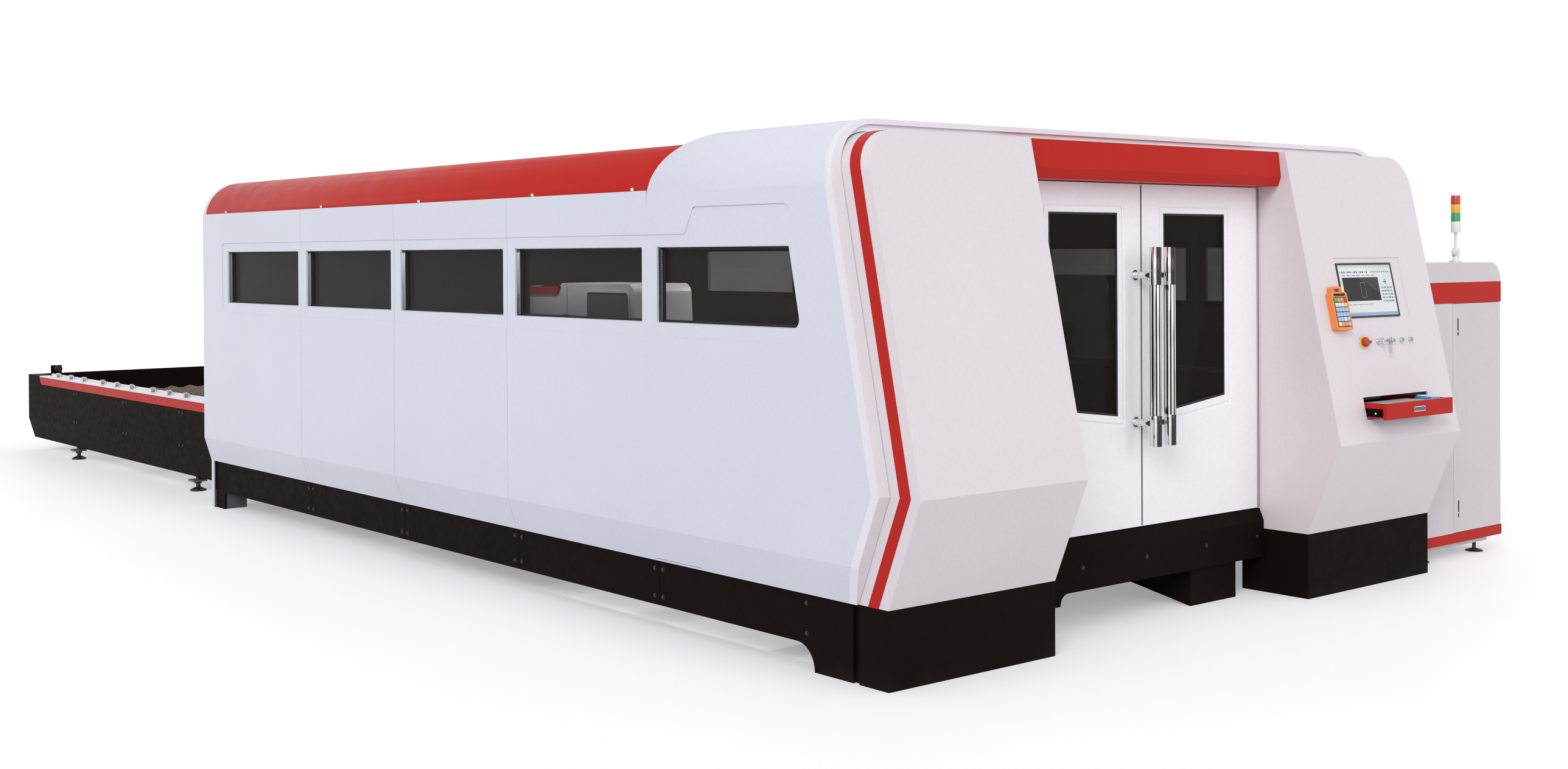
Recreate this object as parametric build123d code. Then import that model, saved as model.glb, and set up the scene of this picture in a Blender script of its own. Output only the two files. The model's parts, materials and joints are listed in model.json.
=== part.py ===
from build123d import *

import os
from math import cos, hypot, radians, sin, sqrt, tan

# Laser cutting machine with a two-level pallet changer behind it.
# Millimetres. While modelling, x = 0 is the left face of the black plinth, y = 0 the front face
# of the plinth boxes and z = 0 the floor. X runs to the operator's right, Y to the rear, Z up.

# Driving dimensions: housing
left_pod_width = 846.0
doorway_width = 1622.0
right_pod_width = 960.0
housing_length = 5900.0
base_top = 280.0
wall_proud = 55.0
wall_taper_top = 420.0
wall_foot_inset = 43.0
panel_depth = 40.0
skin = 8.0
roof_top = 1947.0
roof_cover_drop = 192.0
roof_radius = 225.0
hood_rise = 38.0
hood_radius = 240.0
hood_rear = 1340.0
hood_rear_radius = 300.0
hood_side_reach = 300.0
panel_pitch = 1077.0
panel_count = 4
deck_edge = 420.0
panel_foot_rise = 60.0
rear_opening_low = 320.0
rear_opening_high = 770.0
seam = 2.0
seat = 0.3

# How far a cutting volume runs past what it cuts
overrun = 1.0
far_overrun = 50.0
far_front = -600.0
far_rear = 600.0

# Driving dimensions: windows in the side walls
window_drop = 223.0
window_height = 300.0
window_front_gap = 36.0
window_rear_gap = 66.0
window_lap = 20.0
window_slant_radius = 34.0
window_thickness = 6.0
rear_window_inset = 325.0
front_window_start = 461.0
field_recess = 4.0
field_below_window = 54.0
field_above_window = 48.0
field_high_rise = 104.0
field_front = 452.0
field_step_start = 1028.0
field_step_end = 1087.0
field_rear_inset = 250.0

# Driving dimensions: pods, portal rim and stripe
nose_reach = 162.0
nose_height = 672.0
pod_drop = 51.0
pod_top_setback = 111.0
pod_rear = 340.0
pod_skin_lean = 1.1
pod_corner_radius = 149.0
rim_setback = 149.0
rim_depth = 40.0
rim_top_face = 20.0
rim_step = 12.0
stripe_setback = 49.0
stripe_width = 53.0
stripe_thickness = 2.0

# Driving dimensions: plinth
plinth_thickness = 12.0
plinth_underside = 98.0
plinth_foot_radius = 96.0
plinth_front = 182.0
plinth_front_foot = 389.0
plinth_rear_foot_length = 126.0
base_groove_start = 151.0
base_groove_depth = 15.0
base_wall = 10.0
sill_face = 224.0
sill_slope_bottom = 317.0
sill_top = 368.0
sill_underside = 157.0
sill_left_underside = 110.0
sill_left_end = 1130.0
sill_arc_radius = 45.0
sill_depth = 76.0
foot_left = 1966.0
foot_width = 317.0
foot_front = 240.0
foot_length = 380.0
foot_rise = 70.0

# Driving dimensions: lintel and doors
lintel_front = 129.0
lintel_height = 150.0
lintel_chamfer_height = 40.0
lintel_chamfer_depth = 15.0
lintel_lean = 12.0
lintel_rear = 300.0
door_face = 246.0
door_thickness = 40.0
door_skin = 6.0
door_gap = 4.0
door_side_gap = 3.0
door_stile = 40.0
door_window_inset = 148.0
door_window_width = 415.0
door_window_drop = 123.0
door_window_low = 832.0
door_window_rise = 50.0
door_window_lap = 20.0
door_pane_thickness = 6.0
door_field_margin = 42.0
door_field_recess = 2.0
door_field_radius = 24.0
pivot_radius = 8.0
pivot_engagement = 26.0
running_clearance = 0.05

# Driving dimensions: door handles
handle_radius = 24.0
handle_bottom = 712.0
handle_length = 808.0
handle_from_seam = 46.0
handle_reach = 110.0
handle_post_radius = 14.0
handle_rosette_radius = 21.0
handle_rosette_thickness = 8.0
handle_post_inset = 92.0
handle_top_post_inset = 114.0
handle_low_sleeve = 126.0
handle_top_sleeve = 154.0
handle_groove = 2.0
handle_end_chamfer = 2.0

# Driving dimensions: console on the right pod
bezel_left = 2672.0
bezel_right = 3200.0
bezel_low = 1190.0
bezel_high = 1470.0
bezel_recess = 4.0
bezel_radius = 12.0
console_reach = 40.0
hole_clearance = 1.0
console_clear = 5.0
monitor_left = 2690.0
monitor_right = 3126.0
monitor_low = 1205.0
monitor_high = 1447.0
monitor_depth = 34.0
monitor_lip = 9.0
monitor_radius = 6.0
screen_recess = 2.0
screen_thickness = 3.0
controls_height = 1098.0
estop_x = 2782.0
lamp_x = 2832.0
selector_x = 2901.0
key_x = 2947.0
button_first = 3017.0
button_pitch = 72.5
button_count = 3
collar_radius = 30.0
collar_thickness = 4.0
estop_head_radius = 21.5
estop_stem_radius = 8.0
estop_travel = 6.0
estop_head_height = 14.0
estop_head_round = 6.0
estop_stem_depth = 18.0
ring_radius = 15.0
ring_height = 5.0
ring_bore = 11.0
button_travel = 4.0
button_rest = 3.0
button_depth = 22.0
key_depth = 20.0
lamp_radius = 8.0
lamp_height = 8.0
key_pocket_radius = 7.0

# Driving dimensions: hand pendant
pendant_left = 2566.0
pendant_width = 118.0
pendant_low = 1152.0
pendant_height = 190.0
pendant_thickness = 30.0
pendant_key_columns = 4
pendant_key_rows = 6
pendant_key_height = 2.0
pendant_loop_height = 26.0
pendant_loop_overlap = 18.0
pendant_loop_inset = 20.0
pendant_grip_inset = 14.0
pendant_corner = 14.0
pendant_margin = 12.0
pendant_key_foot = 16.0

# Driving dimensions: keyboard drawer
drawer_left = 2694.0
drawer_width = 536.0
drawer_front_face = -240.0
drawer_front_thickness = 18.0
drawer_front_low = 773.0
drawer_front_height = 70.0
drawer_inset = 18.0
tray_depth = 330.0
tray_floor = 812.0
tray_thickness = 6.0
tray_rail_height = 30.0
slot_margin = 8.0
slot_low = 768.0
slot_high = 864.0
runner_thickness = 6.0
runner_height = 46.0
runner_lip = 12.0
shelf_rear_gap = 30.0
pull_width = 96.0
pull_height = 24.0
pull_depth = 6.0
shelf_thickness = 8.0
keyboard_length = 380.0
keyboard_depth = 130.0
keyboard_height = 14.0
key_rows = 5
key_columns = 13
key_gap = 4.0
key_height = 6.0
mouse_length = 112.0
mouse_width = 62.0
mouse_height = 33.0
mouse_crown = 14.0

# Driving dimensions: control cabinet and signal tower
cabinet_gap = 27.0
cabinet_width = 780.0
cabinet_front = 100.0
cabinet_depth = 650.0
cabinet_bottom = 79.0
cabinet_low_band = 49.0
cabinet_band_low = 1243.0
cabinet_band_high = 1345.0
cabinet_top = 1440.0
cabinet_corner_radius = 94.0
cabinet_skin = 6.0
cabinet_ring_wall = 20.0
cabinet_base_inset = 92.0
cabinet_base_height = 25.0
cabinet_door_width = 456.0
cabinet_door_thickness = 20.0
cabinet_door_gap = 2.0
lock_width = 15.0
lock_height = 84.0
lock_inset = 40.0
lock_low = 201.0
lock_high = 1085.0
lock_recess = 5.0
cabinet_door_fold = 8.0
cabinet_pin_length = 14.0
cabinet_foot_inset = 140.0
cabinet_foot_depth_inset = 70.0
duct_front = 520.0
duct_low = 500.0
duct_size = 110.0
foot_disc_radius = 42.0
foot_disc_height = 14.0
foot_stem_radius = 9.0
tower_x = 4128.0
tower_y = 250.0
flange_radius = 30.0
flange_thickness = 10.0
knuckle_height = 54.0
knuckle_radius = 22.0
knuckle_thickness = 18.0
knuckle_ear = 6.0
knuckle_pin_radius = 4.0
mast_radius = 8.0
mast_length = 96.0
module_radius = 23.0
module_base_height = 55.0
lens_height = 40.0
lens_gap = 3.0
lens_count = 3
core_radius = 8.0
stub_radius = 16.0
ear_radius = 14.0
ear_half_width = 10.0
tower_cap_height = 7.0

# Driving dimensions: pallet changer
changer_gap = 25.0
changer_length = 4035.0
changer_side = 125.0
changer_top = 590.0
changer_bend = 250.0
changer_underside = 96.0
changer_tuck = 45.0
skirt_thickness = 10.0
rail_width = 100.0
rail_thickness = 8.0
band_height = 56.0
band_thickness = 3.0
band_end_inset = 280.0
band_slant = 46.0
roller_radius = 16.0
roller_width = 24.0
roller_block = 26.0
roller_block_wall = 7.0
roller_block_top = 8.0
roller_offset = 5.0
roller_inset = 514.0
roller_pitch = 299.0
roller_group_pitch = 1003.0
roller_group = 3
roller_count = 11
buffer_x = 330.0
buffer_width = 80.0
buffer_rise = 62.0
buffer_radius = 24.0
buffer_length = 70.0
buffer_plate = 12.0
buffer_plate_drop = 120.0
changer_foot_front = 739.0
changer_foot_spacing = 2337.0
changer_foot_x = 200.0
changer_foot_radius = 50.0
changer_foot_height = 24.0
changer_stem_radius = 14.0
changer_member = 80.0
changer_member_pitch = 950.0
changer_member_first = 60.0
changer_tube = 50.0
changer_ledge_width = 45.0
changer_strut = 35.0
skirt_lip = 60.0
skirt_joint_first = 825.0
skirt_joint_pitch = 1040.0
skirt_joint_count = 2
skirt_joint_depth = 1.5
foot_bracket_length = 90.0
foot_bracket_reach = 92.0
foot_bracket_level = 62.0
foot_bracket_thickness = 12.0
foot_nut_radius = 24.0
foot_nut_height = 14.0
guide_strip_width = 10.0
guide_strip_height = 14.0

# Driving dimensions: bed frame, gantry and pallets
beam_width = 128.0
beam_wall = 10.0
bed_underside = 110.0
bed_top = 880.0
bed_leg_length = 42.0
bed_rear_leg = 100.0
bed_member_count = 4
bed_member_setback = 420.0
bed_member_rear_gap = 180.0
bed_member_size = 100.0
bed_front_gap = 4.0
bed_rear_gap = 20.0
ledge_width = 75.0
ledge_thickness = 12.0
ledge_front = 1380.0
upper_level = 622.0
lower_level = 352.0
pallet_x = 165.0
pallet_length = 3900.0
pallet_front = 1450.0
pallet_height = 70.0
pallet_rail_width = 60.0
pallet_member_count = 5
pallet_member_width = 50.0
slat_count = 19
slat_thickness = 6.0
slat_seat = 40.0
slat_height = 63.0
slat_teeth = 20
slat_tooth_depth = 22.0
slat_end_inset = 60.0
guide_width = 30.0
guide_height = 28.0
guide_inset = 50.0
guide_front = 450.0
guide_rear_gap = 40.0
gantry_y = 1995.0
gantry_length = 790.0
gantry_plate = 28.0
gantry_plate_width = 110.0
gantry_block_length = 120.0
gantry_block_inset = 30.0
gantry_block_side = 18.0
gantry_block_gap = 8.0
gantry_wall = 12.0
gantry_rise = 4.0
beam_depth = 300.0
gantry_beam_height = 190.0
cover_left = 60.0
cover_width = 300.0
cover_length = 840.0
cover_top = 1379.0
cover_radius = 45.0
cover_front_lean = 26.0
cover_step = 15.0
cover_step_length = 24.0
cover_rear_length = 324.0
cover_field_inset = 30.0
cover_field_low = 40.0
cover_field_length = 360.0
cover_field_depth = 4.0
beam_clearance = 5.0
carriage_width = 228.0
carriage_thickness = 55.0
carriage_height = 210.0
carriage_drop = 10.0
carriage_rib = 22.0
beam_rail_height = 20.0
beam_rail_reach = 14.0
beam_rail_inset = 28.0
lift_motor_radius = 26.0
lift_motor_height = 92.0
slide_width = 108.0
slide_thickness = 50.0
slide_low = 900.0
slide_high = 1160.0
head_radius = 30.0
head_waist_radius = 26.0
head_collar_height = 18.0
head_waist_height = 44.0
head_top = 922.0
nozzle_tip = 745.0
nozzle_length = 55.0
nozzle_tip_radius = 6.0

# Widths and places that follow from the sizes above
machine_width = left_pod_width + doorway_width + right_pod_width
hood_top_height = roof_top + hood_rise
panel_top = roof_top - roof_cover_drop
pod_top = hood_top_height - pod_drop
lintel_bottom = pod_top - lintel_height
door_window_top = lintel_bottom - door_window_drop
window_top = panel_top - window_drop
window_bottom = window_top - window_height
field_bottom = window_bottom - field_below_window
field_top = window_top + field_above_window
field_high_top = field_top + field_high_rise
rear_window_end = housing_length - rear_window_inset
field_rear = housing_length - field_rear_inset
plinth_rear_foot = housing_length - plinth_rear_foot_length
mid_x = machine_width / 2
wall_x = -wall_proud
right_pod_x = left_pod_width + doorway_width
seam_x = left_pod_width + doorway_width / 2
lean = (pod_top_setback + nose_reach) / (pod_top - nose_height)
lower_lean = nose_reach / (nose_height - base_top)
lean_scale = hypot(1.0, lean)
panel_inner = wall_x + panel_depth
hood_front_setback = rim_setback + rim_depth
rear_wall_end = housing_length + panel_depth
changer_front = rear_wall_end + changer_gap
changer_end = changer_front + changer_length
band_end = changer_end - band_end_inset
roller_first = changer_end - roller_inset
changer_foot_stations = [changer_front + changer_foot_front,
                         changer_front + changer_foot_front + changer_foot_spacing]
skirt_joints = [changer_front + skirt_joint_first + index * skirt_joint_pitch
                for index in range(skirt_joint_count)]
pallet_travel = changer_front - pallet_front
button_x = [button_first + index * button_pitch for index in range(button_count)]
beam_inner = plinth_thickness + beam_width
cabinet_left = machine_width + wall_proud + cabinet_gap
cabinet_right = cabinet_left + cabinet_width
cabinet_rear = cabinet_front + cabinet_depth
cabinet_door_left = cabinet_right - cabinet_door_width
handle_y = door_face - handle_reach
door_top = lintel_bottom - door_gap
door_bottom = sill_top + door_gap
pivot_inset = door_thickness / 2
pivot_y = door_face + pivot_inset
tray_left = drawer_left + drawer_inset
tray_right = drawer_left + drawer_width - drawer_inset
tray_front = drawer_front_face + drawer_front_thickness
knuckle_z = cabinet_top + knuckle_height
mast_top = knuckle_z + mast_length
lens_base = mast_top + module_base_height
tower_top = lens_base + lens_count * (lens_height + lens_gap) + tower_cap_height
roller_x = pallet_x + pallet_rail_width / 2 - roller_offset
gantry_beam_low = bed_top + guide_height + gantry_rise + gantry_plate
gantry_beam_front = gantry_y - beam_depth / 2
carriage_front = gantry_beam_front - seat - carriage_thickness
slide_front = carriage_front - seat - slide_thickness
head_y = slide_front + slide_thickness - head_radius
door_hinge_x = cabinet_right - cabinet_door_gap - cabinet_door_thickness / 2
door_hinge_y = cabinet_front + cabinet_door_thickness / 2
left_pivot_x = left_pod_width + door_side_gap + pivot_inset
right_pivot_x = right_pod_x - door_side_gap - pivot_inset

# The whole machine stands on the floor with its outer box centred on the origin.
origin_x = (wall_x + cabinet_right) / 2
origin_y = (drawer_front_face + changer_end) / 2


def outline(corners):
    """A closed face; each corner is (u, v) or (u, v, radius)."""
    count = len(corners)
    ends = []
    for index, corner in enumerate(corners):
        before = Vector(*corners[index - 1][:2])
        here = Vector(*corner[:2])
        after = Vector(*corners[(index + 1) % count][:2])
        radius = corner[2] if len(corner) > 2 else 0.0
        if radius == 0.0:
            ends.append((here, None, here))
            continue
        back = (before - here).normalized()
        ahead = (after - here).normalized()
        half = radians(back.get_angle(ahead)) / 2
        reach = radius / tan(half)
        middle = here + (back + ahead).normalized() * (radius / sin(half) - radius)
        ends.append((here + back * reach, middle, here + ahead * reach))
    edges = []
    for index, (start, middle, finish) in enumerate(ends):
        if middle is not None:
            edges.append(ThreePointArc(start, middle, finish))
        following = ends[(index + 1) % count][0]
        if (following - finish).length > 1e-6:
            edges.append(Line(finish, following))
    return make_face(edges)


def along_x(face, start, end):
    """Extrude a (y, z) face between two x values."""
    return extrude(Plane.YZ.offset(start) * face, amount=end - start, dir=(1, 0, 0))


def along_y(face, start, end):
    """Extrude an (x, z) face between two y values."""
    return extrude(Plane.XZ.offset(-start) * face, amount=end - start, dir=(0, 1, 0))


def along_z(face, start, end):
    """Extrude an (x, y) face between two z values."""
    return extrude(Plane.XY.offset(start) * face, amount=end - start, dir=(0, 0, 1))


def block(x0, x1, y0, y1, z0, z1):
    """A box given by its limits."""
    corner = Box(x1 - x0, y1 - y0, z1 - z0, align=(Align.MIN, Align.MIN, Align.MIN))
    return Pos(x0, y0, z0) * corner


def post(x, y, z0, z1, radius):
    """An upright cylinder."""
    return Pos(x, y, z0) * Cylinder(radius, z1 - z0, align=(Align.CENTER, Align.CENTER, Align.MIN))


def bar_y(x, z, y0, y1, radius):
    """A cylinder along Y."""
    return along_y(Pos(x, z) * Circle(radius), y0, y1)


def mirrored(shape):
    """The same shape on the other side of the machine."""
    return mirror(shape, about=Plane.YZ.offset(mid_x))


def group(shapes):
    """Separate solids kept together in one node."""
    solids = []
    for shape in shapes:
        solids.extend(shape.solids())
    return Compound(solids)


def both_sides(shape):
    return group([shape, mirrored(shape)])


# Cross-sections of the housing

def front_line(z, setback=0.0):
    """Where the pods' folded front face stands at a height, moved back by a setback."""
    slope = lean if z >= nose_height else -lower_lean
    return -nose_reach + slope * (z - nose_height) + setback


def front_band(start, end, low, high):
    """A folded strip in side view that follows the pods' front face."""
    return outline([
        (front_line(low, start), low),
        (front_line(nose_height, start), nose_height),
        (front_line(high, start), high),
        (front_line(high, end), high),
        (front_line(nose_height, end), nose_height),
        (front_line(low, end), low),
    ])


def housing_section(top, radius, inset=0.0, low=base_top):
    """The housing's outline seen from the front: walls that tuck in at the foot, round shoulders."""
    foot = wall_x + wall_foot_inset + inset
    side = wall_x + inset
    round_top = max(radius - inset, 1.0)
    corners = [
        (foot, base_top),
        (side, wall_taper_top),
        (side, top - inset, round_top),
        (machine_width - side, top - inset, round_top),
        (machine_width - side, wall_taper_top),
        (machine_width - foot, base_top),
    ]
    if low < base_top:
        corners = [(foot, low)] + corners + [(machine_width - foot, low)]
    return outline(corners)


def hood_side_view(inset, front_setback, low=base_top):
    """The front hood in side view, with its round rear shoulder."""
    top = hood_top_height - inset
    corners = [
        (front_line(base_top, front_setback), base_top),
        (front_line(nose_height, front_setback), nose_height),
        (front_line(top, front_setback), top),
        (hood_rear - inset, top, hood_rear_radius - inset),
        (hood_rear - inset, low),
    ]
    if low < base_top:
        corners = [(front_line(base_top, front_setback), low)] + corners
    return outline(corners)


# Windows and the shallow field round them

def panel_span(index):
    """Front and rear y of a side panel; the last one reaches the rear wall."""
    front = hood_rear + index * panel_pitch
    rear = housing_length if index == panel_count - 1 else front + panel_pitch
    return front, rear


def front_window(lap=0.0):
    """The slanted window in the hood's side, grown by a lap."""
    low = window_bottom - lap
    high = window_top + lap
    slant_top = front_window_start + lean * lap - lap
    slant_low = slant_top - lean * (high - low)
    return outline([
        (slant_low, low, window_slant_radius + lap / 2),
        (hood_rear - window_rear_gap + lap, low),
        (hood_rear - window_rear_gap + lap, high),
        (slant_top, high),
    ])


def panel_window(index, lap=0.0):
    front, rear = panel_span(index)
    start = front + window_front_gap - lap
    end = rear - window_rear_gap + lap
    if index == panel_count - 1:
        end = rear_window_end + lap
    return outline([
        (start, window_bottom - lap),
        (end, window_bottom - lap),
        (end, window_top + lap),
        (start, window_top + lap),
    ])


def field_outline():
    """The shallow recessed field that frames all the windows of one side."""
    low_front = field_front - lean * (field_high_top - field_bottom)
    return outline([
        (low_front, field_bottom, 90.0),
        (field_rear, field_bottom, 20.0),
        (field_rear, field_top, 20.0),
        (field_step_end, field_top),
        (field_step_start, field_high_top, 12.0),
        (field_front, field_high_top, 45.0),
    ])


def field_cut():
    return along_x(field_outline(), wall_x - overrun, wall_x + field_recess)


# Side panels and window panes

def window_return(face):
    """The folded edge round a window, deep enough to carry the pane behind it."""
    return along_x(face, wall_x + field_recess, panel_inner)


def side_panel(index):
    """A folded panel: outer skin, a return on all four edges, open towards the inside."""
    front, rear = panel_span(index)
    start = front + seat if index == 0 else front + seam / 2
    end = rear if index == panel_count - 1 else rear - seam / 2
    foot = wall_x + wall_foot_inset
    body = along_y(outline([
        (foot, base_top),
        (wall_x, wall_taper_top),
        (wall_x, panel_top),
        (panel_inner, panel_top),
        (panel_inner, wall_taper_top),
        (plinth_thickness, base_top + panel_foot_rise),
        (plinth_thickness, base_top),
    ]), start, end)
    pocket = along_y(outline([
        (foot + skin, base_top + skin),
        (wall_x + skin, wall_taper_top),
        (wall_x + skin, panel_top - skin),
        (panel_inner + panel_depth, panel_top - skin),
        (panel_inner + panel_depth, base_top + skin),
    ]), start + skin, end - skin)
    return (body - pocket) + window_return(panel_window(index, skin)) - field_cut() \
        - along_x(panel_window(index), wall_x - overrun, panel_inner + overrun)


def make_left_panels():
    return group([side_panel(index) for index in range(panel_count)])


def make_right_panels():
    return group([mirrored(side_panel(index)) for index in range(panel_count)])


def make_side_windows():
    behind = panel_inner
    panes = [along_x(front_window(window_lap), behind, behind + window_thickness)]
    for index in range(panel_count):
        panes.append(along_x(panel_window(index, window_lap), behind, behind + window_thickness))
    return group(panes + [mirrored(pane) for pane in panes])


# Front hood, portal rim and roof

def hood_volume(inset, front_setback, low):
    across = along_y(housing_section(hood_top_height, hood_radius, inset, low), far_front,
                     hood_rear + far_overrun)
    profile = hood_side_view(inset, front_setback, low)
    return across & along_x(profile, wall_x - far_overrun, machine_width + wall_proud + far_overrun)


def make_hood():
    """The hood's shell, open in front, below and behind the roof line."""
    shell = hood_volume(0.0, hood_front_setback, base_top)
    shell = shell - hood_volume(skin, -far_overrun, base_top - far_overrun)
    low = base_top - far_overrun
    tunnel = along_y(housing_section(roof_top + seam, roof_radius + seam, 0.0, low),
                     hood_rear - hood_rear_radius, hood_rear + far_overrun)
    tunnel = tunnel & block(panel_inner, machine_width - panel_inner, 0, hood_rear + far_overrun,
                            low, hood_top_height)
    foot = hood_volume(0.0, hood_front_setback, base_top)
    foot = foot & block(wall_x, plinth_thickness, pod_rear + seat, hood_rear, base_top, base_top + skin)
    return shell - tunnel + foot + mirrored(foot)


def make_hood_sides(hood):
    keep = block(wall_x - overrun, hood_side_reach - seam / 2, far_front, hood_rear + overrun,
                 0, hood_top_height + overrun)
    window = along_x(front_window(), wall_x - overrun, panel_inner + overrun)
    left = (hood & keep) + window_return(front_window(skin)) - window - field_cut()
    return both_sides(left)


def make_hood_top(hood):
    reach = hood_side_reach + seam / 2
    keep = block(reach, machine_width - reach, far_front, hood_rear + overrun,
                 roof_top - far_overrun, hood_top_height + overrun)
    return hood & keep


def rim_ring(low_face, high_face, opening_top, opening_radius):
    """A folded arch between two setbacks, with its opening's top and corner radius."""
    depth = along_x(front_band(low_face, high_face, base_top, hood_top_height),
                    wall_x - overrun, machine_width + wall_proud + overrun)
    full = along_y(housing_section(hood_top_height, hood_radius), far_front, far_rear) & depth
    opening = along_y(outline([
        (-seam, base_top - overrun),
        (-seam, opening_top, opening_radius),
        (machine_width + seam, opening_top, opening_radius),
        (machine_width + seam, base_top - overrun),
    ]), far_front, far_rear)
    return full - opening


def make_portal_rim():
    """Arch round the pods: a narrow face at the top, with a stepped inner edge below it."""
    face = rim_ring(rim_setback, rim_setback + rim_step, hood_top_height - rim_top_face,
                    hood_radius - wall_proud)
    back = rim_ring(rim_setback + rim_step, rim_setback + rim_depth, pod_top + 1.5 * seam,
                    pod_corner_radius)
    return face + back


def roof_ring(x_end):
    """The curved roof skin on one side, from the panels' top edge to its inner fold."""
    start = hood_rear - hood_rear_radius - far_overrun
    ring = along_y(housing_section(roof_top, roof_radius), start, housing_length)
    ring = ring - along_y(housing_section(roof_top, roof_radius, skin), start, housing_length)
    ring = ring & block(wall_x - overrun, x_end, start, housing_length, panel_top + seat, roof_top + overrun)
    return ring + block(x_end - skin, x_end, start, housing_length, roof_top - panel_depth, roof_top)


def hood_clearance():
    """Everything within one seam of the hood's rear shoulder."""
    return along_x(hood_side_view(-seam, hood_front_setback), wall_x - far_overrun,
                   machine_width + wall_proud + far_overrun)


def make_roof_covers():
    return both_sides(roof_ring(deck_edge - seat) - hood_clearance())


def make_roof_deck():
    """Flat folded roof sheets between the curved covers."""
    first = hood_rear - hood_rear_radius
    first = first + sqrt(hood_rear_radius ** 2 - (hood_rear_radius - hood_top_height + roof_top) ** 2) + seam
    sheets = []
    for index in range(panel_count):
        front, rear = panel_span(index)
        start = first if index == 0 else front + seam / 2
        end = rear if index == panel_count - 1 else rear - seam / 2
        low = roof_top - panel_depth
        sheet = block(deck_edge, machine_width - deck_edge, start, end, low, roof_top)
        pocket = block(deck_edge + skin, machine_width - deck_edge - skin, start + skin, end - skin,
                       low - overrun, roof_top - skin)
        sheets.append(sheet - pocket)
    return group(sheets)


def make_rear_wall():
    """Folded rear wall with the pallets' opening and two corner legs."""
    wall = along_y(housing_section(roof_top, roof_radius, 0.0, 0.0), housing_length, rear_wall_end)
    pocket = along_y(housing_section(roof_top, roof_radius, skin, 0.0), housing_length,
                     rear_wall_end - skin)
    wall = wall - (pocket & block(wall_x, machine_width + wall_proud, 0, rear_wall_end,
                                  plinth_underside + skin, roof_top))
    inner = machine_width - beam_inner
    end = rear_wall_end + overrun
    wall = wall - block(beam_inner, inner, 0, end, rear_opening_low, rear_opening_high)
    return wall - block(beam_inner, inner, 0, end, -overrun, plinth_underside)


# Pods, stripe and lintel

def pod_section(x0, x1, rounded_left, grow=0.0, low=base_top):
    left_radius = pod_corner_radius + grow if rounded_left else 0.0
    right_radius = 0.0 if rounded_left else pod_corner_radius + grow
    return outline([
        (x0 - grow, low),
        (x0 - grow, pod_top + grow, left_radius),
        (x1 + grow, pod_top + grow, right_radius),
        (x1 + grow, low),
    ])


def pod_shell(x0, x1, rounded_left):
    """A folded pod: leaning front, nose, tucked lower face; open at the back."""
    profile = outline([
        (front_line(base_top), base_top),
        (-nose_reach, nose_height),
        (front_line(pod_top), pod_top),
        (pod_rear, pod_top),
        (pod_rear, base_top),
    ])
    inner = outline([
        (front_line(base_top) + skin * pod_skin_lean, base_top + skin),
        (-nose_reach + skin * pod_skin_lean, nose_height),
        (front_line(pod_top - skin) + skin * lean_scale, pod_top - skin),
        (pod_rear + overrun, pod_top - skin),
        (pod_rear + overrun, base_top + skin),
    ])
    outside = along_x(profile, x0, x1) & along_y(pod_section(x0, x1, rounded_left), far_front, far_rear)
    inside = along_x(inner, x0, x1) & along_y(
        pod_section(x0, x1, rounded_left, -skin), far_front, far_rear)
    return outside - inside


def make_left_pod():
    return pod_shell(0.0, left_pod_width, True)


def pod_stripe(x0, x1, rounded_left):
    """Thin strip round the pod's outer side and over its top."""
    ring = along_y(pod_section(x0, x1, rounded_left, stripe_thickness), far_front, far_rear)
    ring = ring - along_y(pod_section(x0, x1, rounded_left, 0.0, base_top - overrun), far_front, far_rear)
    band = along_x(front_band(stripe_setback, stripe_setback + stripe_width, base_top,
                              pod_top + stripe_thickness), x0 - far_overrun, x1 + far_overrun)
    limit_low = x0 - stripe_thickness if rounded_left else x0
    limit_high = x1 if rounded_left else x1 + stripe_thickness
    return ring & band & block(limit_low, limit_high, far_front, far_rear, base_top, pod_top + far_overrun)


def make_pod_stripes():
    return group([pod_stripe(0.0, left_pod_width, True),
                  pod_stripe(right_pod_x, machine_width, False)])


def make_lintel():
    face_top = lintel_front + lintel_lean
    chamfer_z = lintel_bottom + lintel_chamfer_height
    outer = outline([
        (face_top, pod_top),
        (lintel_front, chamfer_z),
        (lintel_front + lintel_chamfer_depth, lintel_bottom),
        (lintel_rear, lintel_bottom),
        (lintel_rear, pod_top),
    ])
    inner = outline([
        (face_top + skin, pod_top - skin),
        (lintel_front + skin, chamfer_z),
        (lintel_front + lintel_chamfer_depth + skin, lintel_bottom + skin),
        (lintel_rear + overrun, lintel_bottom + skin),
        (lintel_rear + overrun, pod_top - skin),
    ])
    x0 = left_pod_width + seat
    x1 = right_pod_x - seat
    return along_x(outer, x0, x1) - along_x(inner, x0 + skin, x1 - skin)


# Plinth, sill and bed frame

def side_plinth():
    """Black cover plates along one side, jointed under the panels, with a foot at each end."""
    shape = outline([
        (plinth_front, 0.0),
        (plinth_front_foot, 0.0),
        (plinth_front_foot, plinth_underside, plinth_foot_radius),
        (plinth_rear_foot, plinth_underside, 24.0),
        (plinth_rear_foot, 0.0),
        (housing_length - seat, 0.0),
        (housing_length - seat, base_top),
        (plinth_front, base_top),
    ])
    plates = along_x(shape, 0.0, plinth_thickness)
    for index in range(panel_count):
        joint = panel_span(index)[0]
        plates = plates - block(-overrun, plinth_thickness + overrun, joint - seam / 2, joint + seam / 2,
                                -overrun, base_top + overrun)
    return plates


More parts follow.
